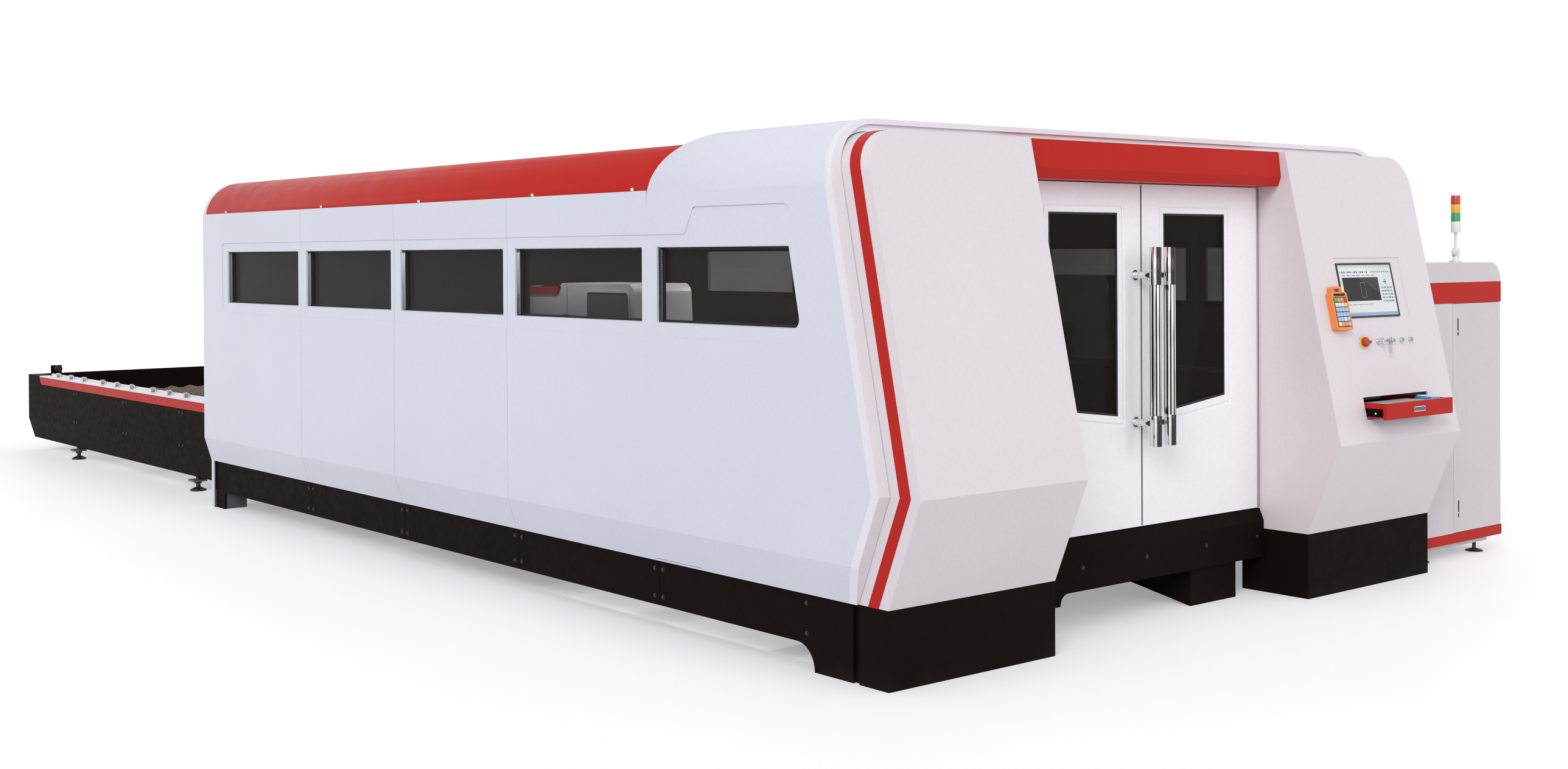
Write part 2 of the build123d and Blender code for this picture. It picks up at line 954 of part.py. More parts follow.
def pod_base(x0, x1, outer_left):
    """Open-bottomed box under a pod, stepped back behind its front corner."""
    outer_0 = x0 + base_groove_depth if outer_left else x0
    outer_1 = x1 if outer_left else x1 - base_groove_depth
    solid = block(x0, x1, 0.0, base_groove_start, 0.0, base_top)
    solid = solid + block(outer_0, outer_1, base_groove_start, pod_rear, 0.0, base_top)
    hollow = block(outer_0 + base_wall, outer_1 - base_wall, base_wall, pod_rear - base_wall,
                   -overrun, base_top - base_wall)
    return solid - hollow


def make_plinth_boxes():
    return group([
        side_plinth(),
        mirrored(side_plinth()),
        pod_base(0.0, left_pod_width, True),
        pod_base(right_pod_x, machine_width, False),
    ])


def make_front_plinth():
    """Folded sill and front plate between the pod boxes, with its middle foot."""
    x0 = left_pod_width + seat
    x1 = right_pod_x - seat
    rear = sill_face + sill_depth
    outer = outline([
        (sill_face, sill_left_underside),
        (sill_face, sill_slope_bottom),
        (door_face, sill_top),
        (rear, sill_top),
        (rear, sill_left_underside),
    ])
    inner = outline([
        (sill_face + skin, sill_left_underside - overrun),
        (sill_face + skin, sill_slope_bottom - 3),
        (door_face + skin, sill_top - skin),
        (rear - skin, sill_top - skin),
        (rear - skin, sill_left_underside - overrun),
    ])
    plate = along_x(outer, x0, x1) - along_x(inner, x0 + skin, x1 - skin)
    clear = along_y(outline([
        (sill_left_end, sill_left_underside - overrun),
        (sill_left_end, sill_underside, sill_arc_radius),
        (x1 + overrun, sill_underside),
        (x1 + overrun, sill_left_underside - overrun),
    ]), 0, far_rear)
    foot = along_x(outline([
        (foot_front, 0.0),
        (foot_front, sill_underside + skin),
        (foot_front + foot_length, sill_underside + skin),
        (foot_front + foot_length, foot_rise),
    ]), foot_left, foot_left + foot_width)
    return (plate - clear) + foot


def bed_member_y(index):
    first = pod_rear + bed_member_setback
    last = housing_length - bed_member_rear_gap
    return first + index * (last - first) / (bed_member_count - 1)


def make_bed_frame():
    """Two long box beams, cross tubes, pallet ledges and legs, welded together."""
    front = pod_rear + bed_front_gap
    rear = housing_length - bed_rear_gap
    outer_x = plinth_thickness + seat
    beam = block(outer_x, beam_inner, front, rear, bed_underside, bed_top)
    beam = beam - block(outer_x + beam_wall, beam_inner - beam_wall, front - overrun, rear + overrun,
                        bed_underside + beam_wall, bed_top - beam_wall)
    leg_front = block(outer_x, beam_inner, front, front + bed_leg_length, 0, bed_underside)
    leg_rear = block(outer_x, beam_inner, rear - bed_rear_leg, rear, 0, bed_underside)
    side = beam + leg_front + leg_rear
    for level in (lower_level, upper_level):
        ledge_top = level - seat
        side = side + block(beam_inner, beam_inner + ledge_width, ledge_front, rear,
                            ledge_top - ledge_thickness, ledge_top)
    frame = side + mirrored(side)
    for index in range(bed_member_count):
        y = bed_member_y(index)
        low = bed_underside + beam_wall
        frame = frame + block(beam_inner, machine_width - beam_inner, y - bed_member_size / 2,
                              y + bed_member_size / 2, low, low + bed_member_size)
    return frame


def make_guide_rails():
    x0 = plinth_thickness + guide_inset
    rear = housing_length - guide_rear_gap
    rail = block(x0, x0 + guide_width, guide_front, rear, bed_top, bed_top + guide_height)
    return both_sides(rail)


# Doors

def door_window_left(lap):
    """Window opening of the left door, lower towards the seam; drawn in x and z."""
    right = seam_x - door_window_inset + lap
    left = seam_x - door_window_inset - door_window_width - lap
    rise = door_window_rise / door_window_width
    low = door_window_low - lap - rise * lap
    return [
        (left, low + rise * (right - left)),
        (left, door_window_top + lap),
        (right, door_window_top + lap),
        (right, low),
    ]


def door_body():
    """The left door: folded skin with a round hinge stile, window and shallow frame field."""
    x0 = left_pod_width + door_side_gap
    x1 = seam_x - seam / 2
    back = door_face + door_thickness
    half_round = pivot_inset - 0.1
    body = along_z(outline([
        (x0, door_face, half_round),
        (x1, door_face),
        (x1, back),
        (x0, back, half_round),
    ]), door_bottom, door_top)
    pocket = block(x0 + door_stile, x1 - door_skin, door_face + door_skin, back + overrun,
                   door_bottom + door_skin, door_top - door_skin)
    window = along_y(outline(door_window_left(0.0)), door_face - overrun, door_face + door_skin + overrun)
    field = along_y(outline([(x, z, door_field_radius) for x, z in door_window_left(door_field_margin)]),
                    door_face - overrun, door_face + door_field_recess)
    door = body - pocket - window - field
    bore = pivot_radius + running_clearance
    depth = pivot_engagement + door_gap
    door = door - post(left_pivot_x, pivot_y, door_bottom - overrun, door_bottom + depth, bore)
    return door - post(left_pivot_x, pivot_y, door_top - depth, door_top + overrun, bore)


def door_mirror(shape):
    """The right door's copy of a left door piece."""
    return mirror(shape, about=Plane.YZ.offset(seam_x))


def door_pane():
    pane = outline(door_window_left(door_window_lap))
    return along_y(pane, door_face + door_skin, door_face + door_skin + door_pane_thickness)


def door_handle():
    """Tube with a grooved sleeve at each end, on two posts with rosettes against the door."""
    x = seam_x - handle_from_seam
    high = handle_bottom + handle_length
    tube = post(x, handle_y, handle_bottom, high, handle_radius)
    tube = chamfer(tube.edges().filter_by(GeomType.CIRCLE), handle_end_chamfer)
    for z in (handle_bottom + handle_low_sleeve, high - handle_top_sleeve):
        groove = post(x, handle_y, z - handle_groove / 2, z + handle_groove / 2, handle_radius + overrun)
        tube = tube - (groove - post(x, handle_y, z - handle_groove, z + handle_groove,
                                     handle_radius - handle_groove / 2))
    for z in (handle_bottom + handle_post_inset, high - handle_top_post_inset):
        tube = tube + bar_y(x, z, handle_y, door_face, handle_post_radius)
        tube = tube + bar_y(x, z, door_face - handle_rosette_thickness, door_face, handle_rosette_radius)
    return tube


def make_door_pivots():
    pins = []
    for x in (left_pivot_x, right_pivot_x):
        pins.append(post(x, pivot_y, sill_top, door_bottom + pivot_engagement, pivot_radius))
        pins.append(post(x, pivot_y, door_top - pivot_engagement, lintel_bottom, pivot_radius))
    return group(pins)


# Console: its plane lies in the leaning front face of the right pod

def console_plane(x, z, proud=0.0):
    """A plane on the console face at an x and a height, X to the right and Z out of the face."""
    length = lean_scale
    normal = Vector(0, -1 / length, lean / length)
    origin = Vector(x, front_line(z), z) + normal * proud
    return Plane(origin=origin, x_dir=(1, 0, 0), z_dir=normal)


def on_console(face, x, z, start, end):
    """Extrude a face drawn on the console plane from one height above it to another."""
    plane = console_plane(x, z, start)
    return extrude(plane * face, amount=end - start, dir=plane.z_dir)


def console_rect(left, right, low, high, start, end, radius=0.0):
    width = right - left
    height = (high - low) * lean_scale
    corners = [(-width / 2, -height / 2, radius), (width / 2, -height / 2, radius),
               (width / 2, height / 2, radius), (-width / 2, height / 2, radius)]
    return on_console(outline(corners), (left + right) / 2, (low + high) / 2, start, end)


def console_disc(x, radius, start, end):
    return on_console(Circle(radius), x, controls_height, start, end)


def make_right_pod():
    """The console pod: bezel recess, monitor opening, control holes and drawer slot."""
    pod = pod_shell(right_pod_x, machine_width, False)
    pod = pod - console_rect(bezel_left, bezel_right, bezel_low, bezel_high, -bezel_recess,
                             console_clear, bezel_radius)
    pod = pod - console_rect(monitor_left, monitor_right, monitor_low, monitor_high, -console_reach,
                             console_clear, monitor_radius)
    holes = [(estop_x, estop_stem_radius), (selector_x, key_pocket_radius), (key_x, key_pocket_radius)]
    holes = holes + [(x, ring_bore) for x in button_x]
    for x, radius in holes:
        pod = pod - console_disc(x, radius + hole_clearance, -console_reach, console_clear)
    slot = block(drawer_left + slot_margin, drawer_left + drawer_width - slot_margin,
                 far_front, 0, slot_low, slot_high)
    return pod - slot


def make_monitor_frame():
    """Thin frame and rear tray of the monitor, set in its opening."""
    body = console_rect(monitor_left + seat, monitor_right - seat, monitor_low + seat, monitor_high - seat,
                        -monitor_depth, 0.0, monitor_radius)
    pocket = console_rect(monitor_left + monitor_lip, monitor_right - monitor_lip,
                          monitor_low + monitor_lip, monitor_high - monitor_lip,
                          -screen_thickness - screen_recess, console_clear)
    return body - pocket


def make_monitor_screen():
    gap = monitor_lip + seat
    return console_rect(monitor_left + gap, monitor_right - gap, monitor_low + gap, monitor_high - gap,
                        -screen_thickness - screen_recess, -screen_recess)


def button_ring(x, bore):
    ring = console_disc(x, ring_radius, 0.0, ring_height)
    return ring - console_disc(x, bore, -overrun, ring_height + overrun)


def make_control_rings():
    """Emergency stop collar, lamp and the plain rings round the other controls."""
    collar = console_disc(estop_x, collar_radius, 0.0, collar_thickness)
    collar = collar - console_disc(estop_x, estop_stem_radius + running_clearance, -overrun,
                                   collar_thickness + overrun)
    lamp = console_disc(lamp_x, lamp_radius, 0.0, lamp_height)
    rings = [button_ring(x, ring_bore + running_clearance) for x in button_x]
    rings.append(button_ring(selector_x, key_pocket_radius + running_clearance))
    rings.append(button_ring(key_x, key_pocket_radius + running_clearance))
    return group([collar, lamp] + rings)


def make_emergency_stop():
    """Mushroom head on its stem."""
    underside = collar_thickness + estop_travel + overrun
    stem = console_disc(estop_x, estop_stem_radius, -estop_stem_depth, underside + overrun)
    head = console_disc(estop_x, estop_head_radius, underside, underside + estop_head_height)
    far = max(head.faces(), key=lambda face: face.center().dot(console_plane(0, 0).z_dir))
    head = fillet(far.edges(), estop_head_round)
    return stem + head


def make_push_button(x):
    """A plain round plunger, still proud of its ring when pressed."""
    return console_disc(x, ring_bore, -button_depth, ring_height + button_travel + button_rest)


def make_selector():
    """Round knob with a grip bar across it."""
    top = ring_height + 4
    knob = console_disc(selector_x, key_pocket_radius, -key_depth, top)
    knob = knob + console_disc(selector_x, ring_radius - 2, ring_height + seat, top + 8)
    grip = on_console(Rectangle(8.0, 26.0), selector_x, controls_height, top + 8, top + 20)
    return knob + grip


def make_key_switch():
    """Lock barrel with its key and a second key hanging from the ring."""
    barrel = console_disc(key_x, key_pocket_radius, -key_depth, ring_height + 5)
    blade = on_console(Rectangle(3.0, 9.0), key_x, controls_height, ring_height + 5, ring_height + 18)
    bow = on_console(Rectangle(3.0, 24.0), key_x, controls_height, ring_height + 18, ring_height + 40)
    plane = console_plane(key_x, controls_height, ring_height + 32)
    hole = Plane(origin=plane.origin, x_dir=plane.z_dir, z_dir=(1, 0, 0)) * Circle(3.0)
    bow = bow - extrude(hole, amount=3.0, both=True)
    low = plane.origin - Vector(0, 0, 1) * 13
    hanging = block(key_x - 1.5, key_x + 1.5, low.Y - 9, low.Y + 9, low.Z - 46, low.Z + 2)
    return barrel + blade + bow + hanging


def make_pendant():
    """Hand pendant with a carrying loop and raised keys."""
    left = pendant_left
    right = left + pendant_width
    high = pendant_low + pendant_height
    body_top = high - pendant_loop_height
    inset = pendant_loop_inset
    body = console_rect(left, right, pendant_low, body_top, 0.0, pendant_thickness, pendant_corner)
    loop = console_rect(left + inset, right - inset, body_top - pendant_loop_overlap, high, 4.0, 22.0, 12.0)
    inset = inset + pendant_grip_inset
    grip = console_rect(left + inset, right - inset, body_top + 2, high - 10, 0.0, pendant_thickness, 5.0)
    pendant = body + (loop - grip)
    pad_width = (pendant_width - 2 * pendant_margin) / pendant_key_columns
    key_field = pendant_height - pendant_loop_height - pendant_key_foot - 2 * pendant_margin
    pad_height = key_field / pendant_key_rows
    for row in range(pendant_key_rows):
        for column in range(pendant_key_columns):
            x = left + pendant_margin + pad_width * column
            z = pendant_low + pendant_key_foot + pad_height * row
            pad = console_rect(x + 2, x + pad_width - 2, z + 2, z + pad_height - 2,
                               pendant_thickness - overrun, pendant_thickness + pendant_key_height)
            pendant = pendant + pad
    return pendant


# Keyboard drawer

def make_drawer_shelf():
    """Fixed shelf across the inside of the pod, with the two runner channels on it."""
    low = slot_low
    top = low + shelf_thickness
    front = front_line(top) + skin * lean_scale + 2 * seat
    back = pod_rear - shelf_rear_gap
    shelf = block(right_pod_x + skin, machine_width - skin, front, back, low, top)
    for x in (tray_left - seat - runner_thickness, tray_right + seat):
        shelf = shelf + block(x, x + runner_thickness, front + 20, back, top, top + runner_height)
    return shelf


def make_drawer_tray():
    """Pull-out shelf with a lip on each side."""
    back = tray_front + tray_depth
    tray = block(tray_left, tray_right, tray_front, back, tray_floor, tray_floor + tray_thickness)
    low = tray_floor - tray_rail_height
    tray = tray + block(tray_left, tray_left + runner_lip, tray_front, back, low, tray_floor)
    return tray + block(tray_right - runner_lip, tray_right, tray_front, back, low, tray_floor)


def make_drawer_front():
    """Red front panel with its recessed pull."""
    high = drawer_front_low + drawer_front_height
    panel = block(drawer_left, drawer_left + drawer_width, drawer_front_face, tray_front,
                  drawer_front_low, high)
    x = drawer_left + drawer_width / 2
    z = (drawer_front_low + high) / 2
    return panel - block(x - pull_width / 2, x + pull_width / 2, drawer_front_face - overrun,
                         drawer_front_face + pull_depth, z - pull_height / 2, z + pull_height / 2)


def make_keyboard():
    """Low base with rows of separate keys."""
    x0 = tray_left + 14
    y0 = tray_front + 12
    z0 = tray_floor + tray_thickness
    board = block(x0, x0 + keyboard_length, y0, y0 + keyboard_depth, z0, z0 + keyboard_height)
    pitch_x = (keyboard_length - 16) / key_columns
    pitch_y = (keyboard_depth - 16) / key_rows
    keys = []
    for row in range(key_rows):
        for column in range(key_columns):
            x = x0 + 8 + pitch_x * column
            y = y0 + 8 + pitch_y * row
            keys.append(block(x, x + pitch_x - key_gap, y, y + pitch_y - key_gap,
                              z0 + keyboard_height - 1, z0 + keyboard_height + key_height))
    return board + keys


def make_mouse():
    """A domed mouse lying across the tray."""
    x0 = tray_right - 6 - mouse_width
    y0 = tray_front + 20
    z0 = tray_floor + tray_thickness
    plan = outline([(x0, y0, 26.0), (x0 + mouse_width, y0, 26.0),
                    (x0 + mouse_width, y0 + mouse_length, 28.0), (x0, y0 + mouse_length, 28.0)])
    body = along_z(plan, z0, z0 + mouse_height)
    return fillet(body.edges().group_by(Axis.Z)[-1], mouse_crown)


# Control cabinet and signal tower

def make_cabinet_body():
    """Sheet-metal body with a fixed left front; the right front opening takes the door."""
    z0 = cabinet_bottom + cabinet_low_band
    z1 = cabinet_band_low
    front = cabinet_front + cabinet_door_thickness + seat
    body = block(cabinet_left, cabinet_right, front, cabinet_rear, z0, z1)
    body = body + block(cabinet_left, cabinet_door_left - cabinet_door_gap, cabinet_front, front, z0, z1)
    inside = block(cabinet_left + cabinet_skin, cabinet_right - cabinet_skin,
                   cabinet_front + cabinet_door_thickness + cabinet_skin, cabinet_rear - cabinet_skin,
                   z0 + cabinet_skin, z1 - cabinet_skin)
    way_in = block(cabinet_door_left + 10, cabinet_right - 20, front - overrun, front + 20,
                   z0 + 10, z1 - 10)
    foot = block(cabinet_left + cabinet_base_inset, cabinet_right - cabinet_base_inset,
                 cabinet_front + 30, cabinet_rear - 30, cabinet_bottom - cabinet_base_height, z0 + 1)
    duct = block(machine_width + wall_proud + seat, cabinet_left + 1, duct_front, duct_front + duct_size,
                 duct_low, duct_low + duct_size)
    return body - inside - way_in + foot + duct


def cabinet_ring(z0, z1):
    wall = cabinet_ring_wall
    ring = block(cabinet_left, cabinet_right, cabinet_front, cabinet_rear, z0, z1)
    return ring - block(cabinet_left + wall, cabinet_right - wall, cabinet_front + wall,
                        cabinet_rear - wall, z0 - overrun, z1 + overrun)


def make_cabinet_bands():
    """The lower and upper red bands; each carries one hinge pin of the door."""
    low_top = cabinet_bottom + cabinet_low_band
    low = cabinet_ring(cabinet_bottom, low_top)
    low = low + post(door_hinge_x, door_hinge_y, low_top - 5, low_top + cabinet_pin_length,
                     knuckle_pin_radius)
    high = cabinet_ring(cabinet_band_low, cabinet_band_high)
    high = high + post(door_hinge_x, door_hinge_y, cabinet_band_low - cabinet_pin_length,
                       cabinet_band_low + 5, knuckle_pin_radius)
    return group([low, high])


def make_cabinet_cap():
    """Round-shouldered top cover, hollow below."""
    def section(inset):
        radius = cabinet_corner_radius - inset
        return outline([
            (cabinet_left + inset, cabinet_band_high - inset),
            (cabinet_left + inset, cabinet_top - inset, radius),
            (cabinet_right - inset, cabinet_top - inset, radius),
            (cabinet_right - inset, cabinet_band_high - inset),
        ])
    cap = along_y(section(0.0), cabinet_front, cabinet_rear)
    return cap - along_y(section(cabinet_skin), cabinet_front + cabinet_skin, cabinet_rear - cabinet_skin)


def make_cabinet_door():
    """Folded door leaf with two flush slots and a round hinge edge."""
    x1 = cabinet_right - cabinet_door_gap
    z0 = cabinet_bottom + cabinet_low_band + cabinet_door_gap
    z1 = cabinet_band_low - cabinet_door_gap
    back = cabinet_front + cabinet_door_thickness
    round_edge = cabinet_door_thickness / 2 - 0.1
    door = along_z(outline([
        (cabinet_door_left, cabinet_front),
        (x1, cabinet_front, round_edge),
        (x1, back, round_edge),
        (cabinet_door_left, back),
    ]), z0, z1)
    door = door - block(cabinet_door_left + 4, x1 - 24, cabinet_front + cabinet_door_fold, back + overrun,
                        z0 + 4, z1 - 4)
    for z in (lock_low, lock_high):
        x = cabinet_door_left + lock_inset
        door = door - block(x, x + lock_width, cabinet_front - overrun, cabinet_front + lock_recess,
                            z, z + lock_height)
    bore = knuckle_pin_radius + running_clearance
    depth = cabinet_pin_length + cabinet_door_gap
    door = door - post(door_hinge_x, door_hinge_y, z0 - overrun, z0 + depth, bore)
    return door - post(door_hinge_x, door_hinge_y, z1 - depth, z1 + overrun, bore)


def levelling_foot(x, y, disc_radius, disc_height, stem_radius, top):
    """Domed foot disc with its stem."""
    cone = Pos(x, y, disc_height * 0.4) * Cone(disc_radius, stem_radius + 6, disc_height * 0.6,
                                               align=(Align.CENTER, Align.CENTER, Align.MIN))
    disc = post(x, y, 0.0, disc_height * 0.4, disc_radius)
    return disc + cone + post(x, y, disc_height * 0.5, top, stem_radius)


def make_levelling_feet():
    feet = []
    for x in (cabinet_left + cabinet_foot_inset, cabinet_right - cabinet_foot_inset):
        for y in (cabinet_front + cabinet_foot_depth_inset, cabinet_rear - cabinet_foot_depth_inset):
            feet.append(levelling_foot(x, y, foot_disc_radius, foot_disc_height, foot_stem_radius,
                                       cabinet_bottom - cabinet_base_height))
    for x in (changer_foot_x, machine_width - changer_foot_x):
        for y in changer_foot_stations:
            foot = levelling_foot(x, y, changer_foot_radius, changer_foot_height,
                                  changer_stem_radius, changer_underside)
            nut = along_z(Pos(x, y) * RegularPolygon(foot_nut_radius, 6),
                          foot_bracket_level - foot_nut_height, foot_bracket_level - seat)
            feet.append(foot + nut)
    return group(feet)


def make_signal_base():
    """Flange, stub and clevis with the folding pin."""
    base = post(tower_x, tower_y, cabinet_top, cabinet_top + flange_thickness, flange_radius)
    ear_gap = knuckle_thickness / 2 + seat
    block_top = knuckle_z - knuckle_radius - 2
    base = base + post(tower_x, tower_y, cabinet_top + 5, block_top, stub_radius)
    for start in (-ear_gap - knuckle_ear, ear_gap):
        ear = bar_y(tower_x, knuckle_z, tower_y + start, tower_y + start + knuckle_ear, ear_radius)
        ear = ear + block(tower_x - ear_half_width, tower_x + ear_half_width, tower_y + start,
                          tower_y + start + knuckle_ear, block_top - 4, knuckle_z)
        base = base + ear
    return base + bar_y(tower_x, knuckle_z, tower_y - ear_gap - knuckle_ear,
                        tower_y + ear_gap + knuckle_ear, knuckle_pin_radius)


def make_signal_mast():
    """Knuckle disc, pole, base module and the tower's core and cap."""
    half = knuckle_thickness / 2
    mast = bar_y(tower_x, knuckle_z, tower_y - half, tower_y + half, knuckle_radius)
    mast = mast + post(tower_x, tower_y, knuckle_z + knuckle_radius - 6, mast_top + overrun, mast_radius)
    mast = mast + post(tower_x, tower_y, mast_top, lens_base, module_radius)
    mast = mast + post(tower_x, tower_y, lens_base, tower_top, core_radius)
    mast = mast + post(tower_x, tower_y, tower_top - tower_cap_height, tower_top, module_radius - seat)
    return mast - bar_y(tower_x, knuckle_z, tower_y - half - overrun, tower_y + half + overrun,
                        knuckle_pin_radius + running_clearance)


def make_signal_lenses():
    lenses = []
    pitch = lens_height + lens_gap
    for index in range(lens_count):
        z0 = lens_base + index * pitch
        lens = post(tower_x, tower_y, z0, z0 + pitch - seat, module_radius)
        lenses.append(lens - post(tower_x, tower_y, z0 - overrun, z0 + pitch + overrun, core_radius + seat))
    return group(lenses)


# Pallet changer

def end_buffer():
    """Stop bracket on the end wall with a round buffer facing the pallet."""
    wall = changer_end - skirt_thickness
    face = wall - buffer_plate
    plate = block(buffer_x - buffer_width / 2, buffer_x + buffer_width / 2, face, wall + overrun,
                  changer_top - buffer_plate_drop, changer_top + buffer_rise)
    stop = bar_y(buffer_x, changer_top + buffer_rise / 2 + 4, face - buffer_length, face, buffer_radius)
    return plate + stop


def make_changer_skirts():
    """Folded side skirts that tuck in below, and the end wall between them."""
    tuck = changer_side + changer_tuck
    t = skirt_thickness
    skirt = along_y(outline([
        (changer_side, changer_top - rail_thickness),
        (changer_side, changer_bend),
        (tuck, changer_underside),
        (tuck + skirt_lip, changer_underside),
        (tuck + skirt_lip, changer_underside + t),
        (tuck + t, changer_underside + t),
        (changer_side + t, changer_bend),
        (changer_side + t, changer_top - rail_thickness),
    ]), changer_front, changer_end)
    for joint in skirt_joints:
        skirt = skirt - block(changer_side - overrun, changer_side + skirt_joint_depth, joint - seam / 2,
                              joint + seam / 2, changer_bend, changer_top)
    skirt = skirt + block(changer_side, changer_side + rail_width, band_end + seat, changer_end,
                          changer_top - rail_thickness, changer_top)
    end_plate = along_y(outline([
        (changer_side + t, changer_top),
        (changer_side + t, changer_bend),
        (tuck + t, changer_underside + t),
        (machine_width - tuck - t, changer_underside + t),
        (machine_width - changer_side - t, changer_bend),
        (machine_width - changer_side - t, changer_top),
    ]), changer_end - t, changer_end)
    rail_notch = block(changer_side, changer_side + rail_width, changer_end - t - overrun,
                       changer_end + overrun, changer_top - rail_thickness, changer_top + overrun)
    end_plate = end_plate - rail_notch - mirrored(rail_notch)
    buffer = end_buffer()
    return group([skirt, mirrored(skirt), end_plate + buffer + mirrored(buffer)])


def foot_bracket(x1, y, top):
    """Angle bracket that carries a levelling foot beneath the skirt."""
    y0 = y - foot_bracket_length / 2
    y1 = y + foot_bracket_length / 2
    t = foot_bracket_thickness
    web = block(x1, x1 + t, y0, y1, foot_bracket_level, top)
    shelf = block(x1 - foot_bracket_reach + t, x1 + t, y0, y1, foot_bracket_level, foot_bracket_level + t)
    return web + shelf - post(changer_foot_x, y, 0.0, top, changer_stem_radius + running_clearance)


def make_changer_frame():
    """Inner ladder frame with the lower pallet's ledges."""
    x0 = changer_side + changer_tuck + skirt_thickness
    low = changer_underside + skirt_thickness
    top = low + changer_member
    rear = changer_end - skirt_thickness
    x1 = x0 + changer_tube
    side = block(x0, x1, changer_front, rear, low, top)
    ledge_top = lower_level - seat
    side = side + block(x0, x0 + changer_ledge_width, changer_front, rear - changer_member_first,
                        ledge_top - ledge_thickness, ledge_top)
    count = int((rear - changer_front) / changer_member_pitch)
    members = [changer_front + changer_member_first + index * changer_member_pitch
               for index in range(count + 1)]
    for y in members:
        side = side + block(x0 + 5, x0 + 5 + changer_strut, y - changer_tube / 2, y + changer_tube / 2,
                            top, ledge_top - ledge_thickness)
    side = side + block(x0, x1, rear_wall_end + seat, changer_front, low, top)
    for y in changer_foot_stations:
        side = side + foot_bracket(x1, y, top)
    frame = side + mirrored(side)
    for y in members:
        frame = frame + block(x1, machine_width - x1, y - changer_member / 2, y + changer_member / 2,
                              low, top)
    return frame


def make_changer_rails():
    """Light top rails with a guide strip and a bearing block under each pallet roller."""
    rail = block(changer_side, changer_side + rail_width, changer_front, band_end,
                 changer_top - rail_thickness, changer_top)
    inner = changer_side + rail_width
    rail = rail + block(inner - guide_strip_width, inner, changer_front, band_end, changer_top,
                        changer_top + guide_strip_height)
    for y in roller_places():
        for x in (roller_x + roller_width / 2 + seat, roller_x - roller_width / 2 - roller_block_wall):
            rail = rail + block(x, x + roller_block_wall - seat, y - roller_block / 2, y + roller_block / 2,
                                changer_top - overrun, upper_level - roller_radius + roller_block_top)
    return both_sides(rail)


def roller_places():
    """Rollers stand in groups along the rail, counted from the far end."""
    return [roller_first - (index // roller_group) * roller_group_pitch
            - (index % roller_group) * roller_pitch for index in range(roller_count)]


def make_pallet_rollers():
    rollers = []
    for y in roller_places():
        axis_z = upper_level - roller_radius - seat
        roller = along_x(Pos(y, axis_z) * Circle(roller_radius - 1), roller_x - roller_width / 2,
                         roller_x + roller_width / 2)
        rollers.append(roller)
        rollers.append(mirrored(roller))
    return group(rollers)


def make_changer_trim():
    """Red bands on the skirts, cut off at a slant at the far end."""
    high = changer_top - rail_thickness
    band = along_x(outline([
        (changer_front, high - band_height),
        (band_end - band_slant, high - band_height),
        (band_end, high),
        (changer_front, high),
    ]), changer_side - band_thickness, changer_side)
    return both_sides(band)


# Pallets

def pallet_frame(front, level):
    """Welded pallet: two side rails with an inner slat ledge, end bars and cross bars."""
    rear = front + pallet_length
    x0 = pallet_x
    x1 = machine_width - pallet_x
    side = block(x0, x0 + pallet_rail_width / 2, front, rear, level, level + pallet_height)
    side = side + block(x0, x0 + pallet_rail_width, front, rear, level, level + slat_seat)
    frame = side + mirrored(side)
    for index in range(pallet_member_count):
        y = front + index * (pallet_length - pallet_member_width) / (pallet_member_count - 1)
        frame = frame + block(x0 + pallet_rail_width, x1 - pallet_rail_width, y, y + pallet_member_width,
                              level, level + slat_seat)
    return frame


def slat_face():
    """One serrated slat seen from the front."""
    x0 = pallet_x + pallet_rail_width / 2 + 1
    x1 = machine_width - x0
    pitch = (x1 - x0) / slat_teeth
    points = [(x0, 0.0)]
    for index in range(slat_teeth):
        points.append((x0 + index * pitch, slat_height - slat_tooth_depth))
        points.append((x0 + (index + 0.5) * pitch, slat_height))
    points.append((x1, slat_height - slat_tooth_depth))
    points.append((x1, 0.0))
    return outline(points)


def slat_rack(front, level):
    pitch = (pallet_length - 2 * slat_end_inset) / (slat_count - 1)
    slat = along_y(slat_face(), 0.0, slat_thickness)
    slats = []
    for index in range(slat_count):
        y = front + slat_end_inset + index * pitch - slat_thickness / 2
        slats.append(Pos(0, y, level + slat_seat) * slat)
    return group(slats)


# Gantry

def make_gantry_beam():
    """Box beam across the bed on two end plates with guide blocks."""
    low = gantry_beam_low
    end_low = low - gantry_plate
    x0 = plinth_thickness + 30
    y0 = gantry_y - gantry_length / 2
    y1 = gantry_y + gantry_length / 2
    plate = block(x0, x0 + gantry_plate_width, y0, y1, end_low, low)
    rail_x = plinth_thickness + guide_inset
    for start in (y0 + gantry_block_inset, y1 - gantry_block_inset - gantry_block_length):
        shoe = block(rail_x - gantry_block_side, rail_x + guide_width + gantry_block_side, start,
                     start + gantry_block_length, bed_top + gantry_block_gap, end_low)
        plate = plate + shoe
        plate = plate - block(rail_x - seat, rail_x + guide_width + seat, start - overrun,
                              start + gantry_block_length + overrun, bed_top, bed_top + guide_height + seat)
    ends = plate + mirrored(plate)
    x1 = cover_left + skin + seat
    beam = block(x1, machine_width - x1, gantry_beam_front, gantry_beam_front + beam_depth,
                 low, low + gantry_beam_height)
    wall = gantry_wall
    hollow = block(x1 - overrun, machine_width - x1 + overrun, gantry_beam_front + wall,
                   gantry_beam_front + beam_depth - wall, low + wall, low + gantry_beam_height - wall)
    rails = [beam_rail(z, 0.0) for z in beam_rail_levels()]
    return ends + (beam - hollow) + rails


def beam_rail_levels():
    """Undersides of the two carriage rails on the beam's front."""
    low = gantry_beam_low + beam_rail_inset
    high = gantry_beam_low + gantry_beam_height - beam_rail_inset - beam_rail_height
    return low, high


